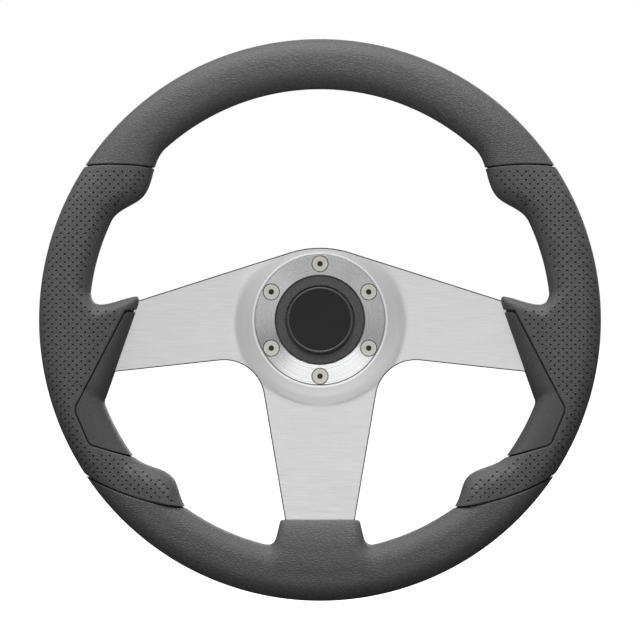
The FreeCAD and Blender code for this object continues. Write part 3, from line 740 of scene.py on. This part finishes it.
def grip_mesh(name, plan, mirror=False):
    """A closed mesh object from a plan: a front, a back and walls down the seams."""
    spots, faces, heights, hollow = plan
    used = np.unique(faces)
    number = {int(spot): i for i, spot in enumerate(used)}
    flat = {int(spot) for spot in used if heights[spot] <= 0}
    front = [(spots[i][0], RIM_LEVEL - heights[i], spots[i][1]) for i in used]
    back_of, back, twins = {}, [], []
    for spot in used:
        if int(spot) in flat:
            back_of[int(spot)] = number[int(spot)]
        else:
            back_of[int(spot)] = len(front) + len(back)
            back.append((spots[spot][0], RIM_LEVEL + heights[spot], spots[spot][1]))
            twins.append(spot)
    polygons, single = [], set()
    for a, b, c in faces.tolist():
        polygons.append((number[a], number[b], number[c]))
        polygons.append((back_of[a], back_of[c], back_of[b]))
        for link in ((a, b), (b, c), (c, a)):
            if link[::-1] in single:
                single.remove(link[::-1])
            else:
                single.add(link)
    for a, b in sorted(single):
        wall = [number[b], number[a], back_of[a], back_of[b]]
        wall = [spot for i, spot in enumerate(wall) if spot not in wall[:i]]
        if len(wall) > 2:
            polygons.append(wall)
    points = np.array(front + back) * MM
    if mirror:
        points[:, 0] *= -1
        polygons = [polygon[::-1] for polygon in polygons]
    mesh = bpy.data.meshes.new(name)
    mesh.from_pydata(points.tolist(), [], polygons)
    # How hollow a point lies; the finishes turn it into painted shade in the pits and grooves
    mark = mesh.attributes.new("hollow", "FLOAT", "POINT")
    mark.data.foreach_set("value", hollow[np.concatenate([used, twins]).astype(int)])
    mesh.validate()
    mesh.shade_smooth()
    mesh.set_sharp_from_angle(angle=math.radians(SHARP_ANGLE))
    grip = bpy.data.objects.new(name, mesh)
    scene.collection.objects.link(grip)
    print(name, "faces:", len(mesh.polygons))
    return grip


print("edges are shaded sharp from degrees:", SHARP_ANGLE)

# %% [markdown]
# ## The side grips
# The thumb rests on the side grips, so their skin is pitted for a sure hold, front and back.
# The pits stand in a five-spot pattern, straight up and down, as the pins of a mould do. Near
# the inner edge the skin stays plain, because the mould could not draw pits there.

# %% Right and left grip
PIT_PITCH = 5.1
PITTED_FROM = 60.0           # pits are looked for beyond this X
PITTED_HEIGHT = 130.0        # and up to this far above and below the axis
PIT_FROM_EDGE = 1.5
PIT_FROM_SEAM = 2.2
PLAIN_BORDER = 4.6           # the skin stays plain this far from the inner edge


def pit_places(cuts, inner):
    """Places of the pits on the right grip."""
    count = round(2 * RIM_OUTER_RADIUS / PIT_PITCH)
    span = np.arange(-count, count) * PIT_PITCH
    square = np.stack(np.meshgrid(span, span), axis=-1).reshape(-1, 2)
    places = np.vstack([square, square + PIT_PITCH / 2])
    places = places[(places[:, 0] > PITTED_FROM) & (np.abs(places[:, 1]) < PITTED_HEIGHT)]
    places = places[side_form(*places.T)(0.0) < -PIT_FROM_EDGE]
    places = places[seam_distance(cuts, places) > PIT_FROM_SEAM]
    return far_from(places, inner, PLAIN_BORDER)


side_cuts = [ArcCut(UPPER_SEAM, -1), ArcCut(LOWER_SEAM, -1), OutlineCut(1)]
side_edges = [right_edge, outer_edge(34.0, -34.0)]
pits = pit_places(side_cuts, right_edge[0])
side_plan = grip_plan(side_form, side_cuts, side_edges, pits, grid_step=2.55)
grip_right = grip_mesh("grip_right_skin", side_plan)
grip_left = grip_mesh("grip_left_skin", side_plan, mirror=True)

# %% [markdown]
# ## The plain grips and the inserts
# The top grip is a plain length of rim. The bottom grip also carries the collar, with a round
# fillet where its sides run into the rim. The inserts share the side grips' form, so their
# skins run on without a step, but they keep to the inside of the outline.

# %% Top grip, bottom grip and inserts
def other_hand(seam):
    """The same seam on the driver's left."""
    return tuple((180 - angle, distance) for angle, distance in seam)


top_cuts = [ArcCut(UPPER_SEAM, 1), ArcCut(other_hand(UPPER_SEAM), 1)]
top_edges = [inner_edge(top_form, 141.0, 39.0), outer_edge(149.0, 31.0)]
grip_top = grip_mesh("grip_top_skin", grip_plan(top_form, top_cuts, top_edges, NO_PITS, grid_step=2.2))

bottom_cuts = [ArcCut(LOWER_SEAM, 1), ArcCut(other_hand(LOWER_SEAM), 1)]
bottom_edges = [inner_edge(bottom_form, -50.0, -130.0), outer_edge(-31.0, -149.0)]
bottom_plan = grip_plan(bottom_form, bottom_cuts, bottom_edges, NO_PITS, grid_step=2.2)
grip_bottom = grip_mesh("grip_bottom_skin", bottom_plan)

insert_plan = grip_plan(side_form, [OutlineCut(-1)], [right_edge], NO_PITS, grid_step=1.8)
insert_right = grip_mesh("insert_right_skin", insert_plan)
insert_left = grip_mesh("insert_left_skin", insert_plan, mirror=True)

for skin, node, slot in (
    (grip_top, "grip_top", "foam"),
    (grip_right, "grip_right", "foam"),
    (grip_left, "grip_left", "foam"),
    (grip_bottom, "grip_bottom", "foam"),
    (insert_right, "insert_right", "foam_insert"),
    (insert_left, "insert_left", "foam_insert"),
):
    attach(skin, "wheel")
    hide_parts(node)

# %% [markdown]
# ## Colours and nodes
# Hex colours are how a paint or leather sample is noted down, but a shader works with linear
# light, so one function turns the one into the other. Another adds a node and makes its links.
# The short ones after it stand for the few kinds of node that every finish uses, so a finish
# reads as a list of what the skin has on it.

# %% Helpers for the finishes
MIX_SOCKETS = {"FLOAT": (2, 3, 0), "VECTOR": (4, 5, 1), "RGBA": (6, 7, 2)}


def linear(hex_colour):
    """An sRGB hex colour as linear red, green, blue and alpha."""
    parts = [int(hex_colour[i:i + 2], 16) / 255 for i in (1, 3, 5)]
    light = [part / 12.92 if part <= 0.04045 else ((part + 0.055) / 1.055) ** 2.4 for part in parts]
    return (*light, 1.0)


def set_inputs(material, node, inputs):
    """Sets or links each of a node's inputs."""
    for name, value in dict(inputs).items():
        if isinstance(value, bpy.types.NodeSocket):
            material.node_tree.links.new(value, node.inputs[name])
        else:
            node.inputs[name].default_value = value


def add_node(material, kind, inputs=(), **settings):
    """Adds a node with its settings and its inputs."""
    node = material.node_tree.nodes.new(kind)
    for name, value in settings.items():
        setattr(node, name, value)
    set_inputs(material, node, inputs)
    return node


def new_finish(name, inputs):
    """A material with one surface shader."""
    material = bpy.data.materials.new(name)
    material.use_nodes = True
    material.node_tree.nodes.clear()
    shader = add_node(material, "ShaderNodeBsdfPrincipled", inputs)
    output = add_node(material, "ShaderNodeOutputMaterial", {"Surface": shader.outputs[0]})
    output.is_active_output = True
    return material, shader


def number_math(material, operation, *values):
    """One sum with numbers."""
    return add_node(material, "ShaderNodeMath", dict(enumerate(values)), operation=operation).outputs[0]


def vector_math(material, operation, *values):
    """One sum with vectors. A length and a dot product come out as numbers."""
    node = add_node(material, "ShaderNodeVectorMath", dict(enumerate(values)), operation=operation)
    return node.outputs["Value" if operation in ("LENGTH", "DOT_PRODUCT") else "Vector"]


def mixed(material, kind, factor, first, second):
    """The first value where the factor is 0, the second where it is 1."""
    low, high, result = MIX_SOCKETS[kind]
    inputs = {"Factor": factor, low: first, high: second}
    return add_node(material, "ShaderNodeMix", inputs, data_type=kind).outputs[result]


def spread(material, value, low, high, to_low=0.0, to_high=1.0, **settings):
    """Stretches the values between low and high over another range, and holds the rest there."""
    return add_node(material, "ShaderNodeMapRange", {
        "Value": value, "From Min": low, "From Max": high, "To Min": to_low, "To Max": to_high},
        **settings).outputs[0]


def noise(material, place, size, detail, roughness=0.5, output="Fac"):
    """Soft blotches of about a size in mm."""
    return add_node(material, "ShaderNodeTexNoise", {
        "Vector": place, "Scale": 1000 / size, "Detail": detail, "Roughness": roughness}).outputs[output]


def bumps(material, height, depth):
    """The slope of a skin whose height goes from 0 to a depth in mm."""
    return add_node(material, "ShaderNodeBump", {
        "Height": height, "Strength": 1.0, "Distance": depth * MM}).outputs[0]


def place_in(material):
    """Where a point lies in the wheel, in metres."""
    return add_node(material, "ShaderNodeTexCoord").outputs["Object"]


def from_axis(material):
    """The way from the wheel's axis straight out to a point, and its length in metres."""
    outward = vector_math(material, "MULTIPLY", place_in(material), (1.0, 0.0, 1.0))
    return outward, vector_math(material, "LENGTH", outward)


def surface_of(material):
    """A finish's surface shader."""
    return next(node for node in material.node_tree.nodes if node.type == "BSDF_PRINCIPLED")


def cover(material, factor, colour, metallic=0.0):
    """Lays another colour and metalness over a finish where the factor is 1."""
    shader = surface_of(material)
    for name, kind, new in (("Base Color", "RGBA", linear(colour)), ("Metallic", "FLOAT", metallic)):
        socket = shader.inputs[name]
        old = socket.links[0].from_socket if socket.links else socket.default_value
        set_inputs(material, shader, {name: mixed(material, kind, factor, old, new)})


def wear(thing, material):
    """Gives a thing one material all over."""
    thing.data.materials.clear()
    thing.data.materials.append(material)


print("charcoal as linear light:", [round(part, 4) for part in linear("#3c3d40")])

# %% [markdown]
# ## Moulded polyurethane foam with a leather grain
# The grips are integral-skin foam. The mould was etched with a leather grain: short shallow
# wrinkles about a millimetre apart, which lie mostly across the wheel, with a finer tooth on
# them. The skin is nearly matt, with a soft shine on the swellings. A Voronoi cell pattern
# gives the plates between the wrinkles, warped so that no cell looks drawn, and noise gives
# the tooth. The pits and the floors of the seams get a painted shade, darker than the skin round them.

# %% Grained foam
GRAIN_CELL = 1.15            # mm between wrinkles
GRAIN_STRETCH = (0.36, 0.8, 1.0)  # cells are wide across the wheel and low up and down
GRAIN_WARP = 1.6             # how far the cells are bent, in cells
WARP_SIZE = 2.2              # and over how long, in cells
WRINKLE_SHARE = 0.28         # how much of a cell its wrinkle takes up
TOOTH_SIZE = 0.9             # mm, coarser than the real tooth so that it shows
TOOTH_SHARE = 0.7            # height of the tooth as a share of the wrinkles' depth
PATCH_SIZE = 71.4            # mm, patches that hands have worn smoother
PLAIN_DEPTH = 0.12           # mm, on the top and bottom grips
PITTED_DEPTH = 0.08          # mm, on the side grips, which have a finer grain


def grained_foam(name, colour, dark, hollow_shade, roughness, depth):
    """Integral-skin foam from a leather-etched mould."""
    material, shader = new_finish(name, {"IOR": 1.5, "Specular IOR Level": 0.35})
    place = place_in(material)
    warp = noise(material, place, WARP_SIZE * GRAIN_CELL, 2.0, output="Color")
    shift = vector_math(material, "SUBTRACT", warp, (0.5, 0.5, 0.5))
    bent = vector_math(material, "MULTIPLY_ADD", shift, (GRAIN_WARP * GRAIN_CELL * MM,) * 3, place)
    wide = vector_math(material, "MULTIPLY", bent, GRAIN_STRETCH)
    cells = add_node(material, "ShaderNodeTexVoronoi", {
        "Vector": wide, "Scale": 1000 / GRAIN_CELL}, feature="DISTANCE_TO_EDGE")
    plates = spread(
        material, cells.outputs["Distance"], 0.0, WRINKLE_SHARE, interpolation_type="SMOOTHSTEP")
    tooth = noise(material, wide, TOOTH_SIZE, 3.0, 0.6)
    height = number_math(material, "MULTIPLY_ADD", tooth, TOOTH_SHARE, plates)
    patches = noise(material, place, PATCH_SIZE, 2.0)
    hollow = add_node(material, "ShaderNodeAttribute", attribute_name="hollow").outputs["Fac"]
    tone = mixed(material, "RGBA", plates, linear(dark), linear(colour))
    # Painted shade: the skin's colour darkens in the pits and the seams' grooves, the deeper the darker
    low = spread(material, hollow, 0.55, 0.95)
    set_inputs(material, shader, {
        "Base Color": mixed(material, "RGBA", low, tone, linear(hollow_shade)),
        "Roughness": spread(material, patches, 0.0, 1.0, roughness - 0.06, roughness + 0.06),
        "Normal": bumps(material, height, depth)})
    return material


plain_foam = grained_foam(
    "integral_skin_foam_grained", "#5a595a", "#504f50", "#161616", 0.58, PLAIN_DEPTH)
pitted_foam = grained_foam(
    "integral_skin_foam_pitted", "#575657", "#4e4d4e", "#2a2a2a", 0.58, PITTED_DEPTH)
for skin, finish in (
    (grip_top, plain_foam), (grip_bottom, plain_foam),
    (grip_right, pitted_foam), (grip_left, pitted_foam),
):
    wear(skin, finish)
print("grained foam nodes:", len(plain_foam.node_tree.nodes))

# %% [markdown]
# ## Satin moulded polyurethane
# The inserts come from a mould that was only blasted with fine grit, so they have a tooth of a
# few tenths of a millimetre, and look smoother and a little darker than the grained skins.

# %% Blasted polyurethane
def blasted_polyurethane(name, colour, dark, roughness, grit, depth):
    """Moulded plastic or rubber with the fine tooth of a grit-blasted mould."""
    material, shader = new_finish(name, {"IOR": 1.5, "Specular IOR Level": 0.35})
    tooth = noise(material, place_in(material), grit, 2.0, 0.55)
    hollow = add_node(material, "ShaderNodeAttribute", attribute_name="hollow").outputs["Fac"]
    speckle = spread(material, tooth, 0.35, 0.65)
    toothed = mixed(material, "RGBA", speckle, linear(dark), linear(colour))
    # Painted shade: where the skin lies hollow, in the seam's groove, its colour goes nearly black
    set_inputs(material, shader, {
        "Base Color": mixed(material, "RGBA", hollow, toothed, linear("#161616")),
        "Roughness": spread(material, tooth, 0.0, 1.0, roughness - 0.05, roughness + 0.05),
        "Normal": bumps(material, tooth, depth)})
    return material


satin = blasted_polyurethane("moulded_polyurethane_blasted", "#4d4c4d", "#454445", 0.5, 1.0, 0.16)
wear(insert_right, satin)
wear(insert_left, satin)
print("nodes of the inserts' finish:", len(satin.node_tree.nodes))

# %% [markdown]
# ## Brushed and turned aluminium
# The spoke plate was brushed from side to side with an abrasive belt, then its middle was
# spun smooth when the dish was formed. Scratches that all run one way spread a reflection out
# across them, so the shader is told the way across: up and down on the spokes, and outwards
# from the axis where the metal was turned. A painted highlight, a near-white band, runs round
# the chamfer of the clamp ring's seat, and the ring's own outer chamfer gets a painted shade.
# The burnished dish mirrors more evenly than its slope alone would let it.

# %% Aluminium
BRUSH_LINE = 0.55            # mm across a scratch, coarser than a real belt's so that it shows
BRUSH_LENGTH = 14.0          # mm
TURNED_RADIUS = 53.0
BELT_FADE = 3.0              # the belt's scratches fade out over this far on both sides of it
ALL_TURNED = 400.0           # a radius beyond the whole piece
OUTLINE_RADIUS = 43.0        # the plate's outline lies outside this, the ring's seat inside
DISH_RADIUS = 60.0           # and the dish inside this
SEAT_HIGHLIGHT_BAND = (40.95, 42.1)  # inner and outer radius of the chamfer round the ring's seat, which gets a painted highlight
RING_EDGE_SHADE = (40.05, 60.0)    # the ring's own chamfer lies in this band and gets a painted shade
DISH_CALM = 0.6              # how much of the dish's slope the burnished skin hides
GENTLE_SLOPE = 0.9           # cosine of the steepest slope that is calmed
TO_DRIVER = (0.0, -1.0, 0.0)


def scratched_aluminium(name, colour, dull, roughness, anisotropy, turned_radius, depth):
    """Brushed along X outside a radius, turned about the wheel's axis inside it."""
    material, shader = new_finish(name, {"Metallic": 1.0, "Anisotropic": anisotropy})
    outward, radius = from_axis(material)
    outside = spread(
        material, radius, (turned_radius - BELT_FADE) * MM, (turned_radius + BELT_FADE) * MM)
    outward = vector_math(material, "NORMALIZE", outward)
    across = mixed(material, "VECTOR", outside, outward, (0.0, 0.0, 1.0))
    long_way = (BRUSH_LINE / BRUSH_LENGTH, 1.0, 1.0)
    along = vector_math(material, "MULTIPLY", place_in(material), long_way)
    belt = noise(material, along, BRUSH_LINE, 3.0, 0.65)
    spun = add_node(material, "ShaderNodeTexNoise", {
        "W": radius, "Scale": 1000 / BRUSH_LINE, "Detail": 3.0, "Roughness": 0.65},
        noise_dimensions="1D").outputs["Fac"]
    scratches = mixed(material, "FLOAT", outside, spun, belt)
    share = spread(material, scratches, 0.3, 0.7)
    set_inputs(material, shader, {
        "Base Color": mixed(material, "RGBA", share, linear(dull), linear(colour)),
        "Roughness": spread(material, share, 0.0, 1.0, roughness + 0.05, roughness - 0.05),
        "Tangent": vector_math(material, "NORMALIZE", across),
        "Normal": bumps(material, scratches, depth)})
    return material


def band(material, inner, outer):
    """1 between two radii round the wheel's axis, in mm, and 0 elsewhere."""
    middle, half_width = (inner + outer) / 2 * MM, (outer - inner) / 2 * MM
    return number_math(material, "COMPARE", from_axis(material)[1], middle, half_width)


def burnish(material, chamfer):
    """Shades the dish as if it were flatter, and the chamfer as if it faced the driver."""
    shader = surface_of(material)
    slope = shader.inputs["Normal"].links[0].from_socket
    facing = vector_math(material, "DOT_PRODUCT", slope, TO_DRIVER)
    gentle = number_math(material, "GREATER_THAN", facing, GENTLE_SLOPE)
    dish = number_math(material, "MULTIPLY", band(material, OUTLINE_RADIUS, DISH_RADIUS), gentle)
    calm = number_math(material, "MULTIPLY_ADD", dish, DISH_CALM, chamfer)
    turned = mixed(material, "VECTOR", calm, slope, TO_DRIVER)
    set_inputs(material, shader, {"Normal": vector_math(material, "NORMALIZE", turned)})


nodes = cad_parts
brushed = scratched_aluminium(
    "aluminium_brushed_anodised", "#d5d5d6", "#cbcbcc", 0.34, 0.6, TURNED_RADIUS, 0.004)
turned_bright = scratched_aluminium(
    "aluminium_turned_anodised", "#c9c9ca", "#c6c6c7", 0.26, 0.75, ALL_TURNED, 0.0007)
turned_plain = scratched_aluminium(
    "aluminium_turned_hub", "#cbccce", "#c2c3c5", 0.36, 0.5, ALL_TURNED, 0.004)
wear(nodes["spoke_plate"], brushed)
wear(nodes["clamp_ring"], turned_bright)
wear(nodes["hub_body"], turned_plain)

chamfer = band(brushed, *SEAT_HIGHLIGHT_BAND)
# Painted highlight: a near-white band laid over the seat's chamfer
cover(brushed, chamfer, "#fbfbfb", 1.0)
burnish(brushed, chamfer)
# Painted shade: the ring's outer chamfer is turned into a dark grey line
cover(turned_bright, band(turned_bright, *RING_EDGE_SHADE), "#8c8c8e")
print("nodes of the plate's finish:", len(brushed.node_tree.nodes))

# %% [markdown]
# ## Painted shade round the plate's outline
# A press tool shears the plate's outline. A fine dark line round the bright metal is painted
# shade along that edge. The line is a strip of its own, bent over the edge of the imported plate: the
# plate's outline is where a front face meets a wall, and a ray cast at the plate gives the level
# where the strip's inner side lies on it, also in the dish.

# %% Painted shade along the outline
SHADE_STRIP_WIDTH = 0.65           # mm on the front and on the wall
SHADE_STRIP_LIFT = 0.02            # mm in front of the metal
SHADE_STRIP_STEP = 1.0             # mm between the strip's points
FRONT_TILT = -0.85           # a front face's normal has less than this along Y
WALL_TILT = 0.3              # and a wall's has less than this, either way
RAY_START = -200.0           # mm, well in front of the plate


def outline_of(mesh):
    """The longest closed row of points where the mesh's front meets its walls, in mm."""
    rows, places, sides = {}, [], {}
    spots = [tuple(round(part * 1000, 2) for part in vertex.co) for vertex in mesh.vertices]
    for spot in spots:
        if spot not in rows:
            rows[spot] = len(places)
            places.append(spot)
    for face in mesh.polygons:
        corners = [rows[spots[index]] for index in face.vertices]
        for first, second in zip(corners, corners[1:] + corners[:1]):
            sides.setdefault(tuple(sorted((first, second))), []).append(face.normal.y)
    follows = {}
    for (first, second), tilts in sides.items():
        edge_radius = math.hypot(*(np.array(places[first]) + np.array(places[second]))[::2]) / 2
        front_meets_wall = min(tilts) < FRONT_TILT and abs(max(tilts)) < WALL_TILT
        if first != second and front_meets_wall and edge_radius > OUTLINE_RADIUS:
            follows.setdefault(first, []).append(second)
            follows.setdefault(second, []).append(first)
    loops, left = [], set(follows)
    while left:
        loop = [left.pop()]
        while True:
            onward = [spot for spot in follows[loop[-1]] if spot in left]
            if not onward:
                break
            loop.append(onward[0])
            left.discard(onward[0])
        loops.append(loop)
    return np.array([places[spot] for spot in max(loops, key=len)])


def edge_shade_strip(name, plate):
    """A dark strip bent over the plate's front edge, as painted shade along it."""
    corners = outline_of(plate.data)
    points = subdivided(corners, side_lengths(corners) / SHADE_STRIP_STEP)
    vertices = []
    for (x, y, z), (out_x, out_z) in zip(points, ways_out(points[:, ::2], 1.0)):
        inner_x, inner_z = x - out_x * SHADE_STRIP_WIDTH, z - out_z * SHADE_STRIP_WIDTH
        hit, place, _, _ = plate.ray_cast(Vector((inner_x, RAY_START, inner_z)) * MM, (0, 1, 0))
        level = place.y / MM if hit else y
        corner_x, corner_z = x + out_x * SHADE_STRIP_LIFT, z + out_z * SHADE_STRIP_LIFT
        vertices += [
            (inner_x, level - SHADE_STRIP_LIFT, inner_z), (corner_x, y - SHADE_STRIP_LIFT, corner_z),
            (corner_x, y + SHADE_STRIP_WIDTH, corner_z)]
    count = len(points)
    faces = []
    for row in range(count):
        here, there = 3 * row, 3 * ((row + 1) % count)
        faces += [(here, here + 1, there + 1, there), (here + 1, here + 2, there + 2, there + 1)]
    mesh = bpy.data.meshes.new(name)
    mesh.from_pydata([tuple(Vector(vertex) * MM) for vertex in vertices], [], faces)
    strip = bpy.data.objects.new(name, mesh)
    scene.collection.objects.link(strip)
    print(name, "points:", count, "length in mm:", round(float(side_lengths(points).sum()), 1))
    return strip


plate_edge_shade = edge_shade_strip("plate_edge_shade", nodes["spoke_plate"])
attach(plate_edge_shade, "wheel")
# Painted shade: the strip is near-black, a dark line along the plate's edge
edge_shade_finish, _ = new_finish("aluminium_edge_painted_shade", {"Base Color": linear("#262628"), "Roughness": 0.5})
wear(plate_edge_shade, edge_shade_finish)

# %% [markdown]
# ## Stainless steel, bare steel, cap and seal
# The screws and rivets are cold-formed stainless steel, slightly warm in colour. The screws'
# sockets, the rims of their heads and the ring round its counterbores get a painted shade.
# The hoop and its lugs are drawn steel. The cap is black ABS: grained on its flange, satin and plain on
# its disc.

# %% The other finishes
SCREWS = 6
SCREW_CIRCLE = 35.0          # radius of the circle on which the screws stand
SOCKET_RADIUS = 1.74
HEAD_SHADE_RADIUS = 4.75             # the heads get a painted shade outside this radius
COUNTERBORE_SHADE_RADIUS = 5.3       # and the ring a painted shade round its counterbores, inside this one
STEEL_SKIN = 0.01            # mm, the unevenness of formed steel


def formed_steel(name, colour, roughness, mottling):
    """Cold-formed or drawn steel with a faintly uneven skin."""
    material, shader = new_finish(name, {"Base Color": linear(colour), "Metallic": 1.0})
    skin = noise(material, place_in(material), mottling, 3.0)
    set_inputs(material, shader, {
        "Roughness": spread(material, skin, 0.0, 1.0, roughness - 0.08, roughness + 0.08),
        "Normal": bumps(material, skin, STEEL_SKIN)})
    return material


def from_screw(material, operation, radius):
    """1 within a radius of the nearest screw's axis or beyond it, in mm, and 0 elsewhere."""
    def work(*values):
        return number_math(material, *values)

    x, _, z = add_node(material, "ShaderNodeSeparateXYZ", {0: place_in(material)}).outputs[:3]
    share = 2 * math.pi / SCREWS
    turn = work("SUBTRACT", work("FLOORED_MODULO", work("ARCTAN2", z, x), share), share / 2)
    away = from_axis(material)[1]
    out = work("SUBTRACT", work("MULTIPLY", away, work("COSINE", turn)), SCREW_CIRCLE * MM)
    side = work("MULTIPLY", away, work("SINE", turn))
    flat = add_node(material, "ShaderNodeCombineXYZ", {0: out, 1: side}).outputs[0]
    return work(operation, vector_math(material, "LENGTH", flat), radius * MM)


stainless = formed_steel("stainless_steel_cold_formed", "#cccac5", 0.3, 0.8)
screw_steel = formed_steel("stainless_steel_screws", "#cccac5", 0.3, 0.8)
# Painted shade: near-black sockets, dark grey head rims and dark grey counterbores round the screws
cover(screw_steel, from_screw(screw_steel, "LESS_THAN", SOCKET_RADIUS), "#101010")
cover(screw_steel, from_screw(screw_steel, "GREATER_THAN", HEAD_SHADE_RADIUS), "#484848")
cover(turned_bright, from_screw(turned_bright, "LESS_THAN", COUNTERBORE_SHADE_RADIUS), "#484848")
drawn_steel = formed_steel("steel_drawn", "#8a8a8c", 0.4, 2.0)
abs_grained = blasted_polyurethane("abs_grained", "#525253", "#3e3e3f", 0.45, 0.9, 0.3)
abs_satin = blasted_polyurethane("abs_satin", "#080809", "#070708", 0.4, 0.5, 0.01)
nitrile = blasted_polyurethane("nitrile_rubber_moulded", "#161616", "#141414", 0.6, 0.8, 0.01)
for name, finish in (
    ("rim_core", drawn_steel), ("rim_lug_right", drawn_steel), ("rim_lug_left", drawn_steel),
    ("rim_lug_bottom", drawn_steel), ("spoke_rivets", stainless), ("clamp_screws", screw_steel),
    ("cap_housing", abs_grained), ("cap_disc", abs_satin), ("cap_retaining_ring", nitrile),
):
    wear(nodes[name], finish)
print("finishes:", len(bpy.data.materials))

# %% [markdown]
# ## Floor and light
# The wheel hangs over a pale floor in a pale room. The floor is white to the camera and grey
# to the light that falls on the wheel, so the undersides of the grips stay as dark as they
# are in the photo. A large soft light hangs above and in front. A wide, faint one and two
# narrow ones stand behind the camera for the metal to mirror, and two lie on the floor: they
# brighten the lower half of the clamp ring. One at the left lights that side of the rim, and
# one stands behind the wheel, for the back.

# %% Floor
FLOOR_LEVEL = -0.33          # metres
FLOOR_REACH = 40.0           # metres each way, past what the camera sees
PAPER_GLOW = 0.3             # how bright the paper itself looks below the wheel
FAR_GLOW = 0.95              # and where it meets the room
GLOW_ENDS = (0.6, 1.3)       # metres from the middle, between which it brightens


def seen_directly(material):
    """1 where the camera looks straight at a point, 0 for light that falls on other things."""
    path = add_node(material, "ShaderNodeLightPath").outputs
    return number_math(material, "MAXIMUM", path["Is Camera Ray"], path["Is Transmission Ray"])


def pale_paper(name):
    """Matt paper that is white to the camera and grey to other light."""
    material, shader = new_finish(name, {"Roughness": 0.9, "Emission Color": (1, 1, 1, 1)})
    seen = seen_directly(material)
    away = vector_math(material, "LENGTH", place_in(material))
    glow = spread(material, away, *GLOW_ENDS, PAPER_GLOW, FAR_GLOW)
    set_inputs(material, shader, {
        "Base Color": mixed(material, "RGBA", seen, linear("#303030"), linear("#e6e6e6")),
        "Emission Strength": number_math(material, "MULTIPLY", seen, glow)})
    return material


mesh = bpy.data.meshes.new("floor")
signs = ((-1, -1), (1, -1), (1, 1), (-1, 1))
mesh.from_pydata([(x * FLOOR_REACH, y * FLOOR_REACH, FLOOR_LEVEL) for x, y in signs], [], [(0, 1, 2, 3)])
floor = bpy.data.objects.new("floor", mesh)
scene.collection.objects.link(floor)
wear(floor, pale_paper("paper_floor"))
floor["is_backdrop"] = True
print("floor below the rim by mm:", round(cad_box[0][2] * 1000 - FLOOR_LEVEL * 1000, 1))

# %% Camera and lights
PIXEL = 0.62316              # mm of the rim's plane in one pixel of the 640 pixel frame
FRAME_PIXELS = 640
CAMERA_DISTANCE = 1950.0     # mm from the rim's plane
WORLD_LEVEL = 0.3            # to light that is scattered
MIRRORED_LEVEL = 0.2         # to light that is mirrored
WHEEL_MIDDLE = (0, -0.03, 0)  # metres, as all lights' places and sizes are

camera = bpy.data.objects.new("camera", bpy.data.cameras.new("camera"))
camera.location = Vector((0, RIM_LEVEL - CAMERA_DISTANCE, 0)) * MM
camera.rotation_euler = (math.pi / 2, 0, 0)
camera.data.lens = camera.data.sensor_width * CAMERA_DISTANCE / (PIXEL * FRAME_PIXELS)
camera.data.clip_end = 200
scene.collection.objects.link(camera)
scene.camera = camera
print("focal length in mm:", round(camera.data.lens, 1))


def softbox(name, place, aim, size, brightness):
    """A rectangular soft light that faces a point, as bright as paper in full light is at 1."""
    lamp = bpy.data.objects.new(name, bpy.data.lights.new(name, "AREA"))
    lamp.data.shape = "RECTANGLE"
    lamp.data.size, lamp.data.size_y = size
    lamp.data.energy = brightness * math.pi * size[0] * size[1]
    lamp.location = place
    lamp.rotation_euler = (Vector(aim) - Vector(place)).to_track_quat("-Z", "Y").to_euler()
    lamp.visible_camera = False
    scene.collection.objects.link(lamp)
    print(name, "watts:", round(lamp.data.energy, 1))


softbox("light_above", (-0.1, -0.6, 1.6), WHEEL_MIDDLE, (2.0, 1.0), 7.7)
softbox("light_behind_camera", (0.25, -2.4, 0.27), (0.25, 0, 0.27), (1.2, 1.19), 0.5)
softbox("light_behind_left", (-0.6, -2.3, 0.27), (0, 0, 0.1), (0.5, 1.0), 1.05)
softbox("light_behind_right", (0.75, -2.3, 0.27), (0, 0, 0.1), (0.5, 1.0), 0.4)
softbox("light_on_the_floor", (0.12, -1.45, -0.32), (0.12, -1.45, 0), (0.7, 1.6), 2.3)
softbox("light_floor_left", (-0.36, -1.0, -0.32), (-0.36, -1.0, 0), (0.26, 0.6), 2.0)
softbox("light_left", (-1.5, -0.8, 0.2), WHEEL_MIDDLE, (0.6, 1.2), 1.2)
softbox("light_at_the_back", (0.5, 1.6, 0.6), WHEEL_MIDDLE, (1.4, 1.0), 3.0)

world = bpy.data.worlds.new("studio")
scene.world = world
world.use_nodes = True
world.node_tree.nodes.clear()
mirrored = add_node(world, "ShaderNodeLightPath").outputs["Is Glossy Ray"]
room = mixed(world, "FLOAT", mirrored, WORLD_LEVEL, MIRRORED_LEVEL)
level = mixed(world, "FLOAT", seen_directly(world), room, 1.0)
sky = add_node(world, "ShaderNodeBackground", {"Color": (1, 1, 1, 1), "Strength": level})
add_node(world, "ShaderNodeOutputWorld", {"Surface": sky.outputs[0]})

# %% [markdown]
# ## Measuring what was made
# Both boxes are printed: the imported model's and the finished wheel's. The finished wheel
# has to fill the same box as the imported model.

# %% Sizes before and after
looks_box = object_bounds()
for title, box in (("packed", cad_box), ("finished", looks_box)):
    print(title, "box in mm:", [[round(part * 1000, 2) for part in corner] for corner in box])
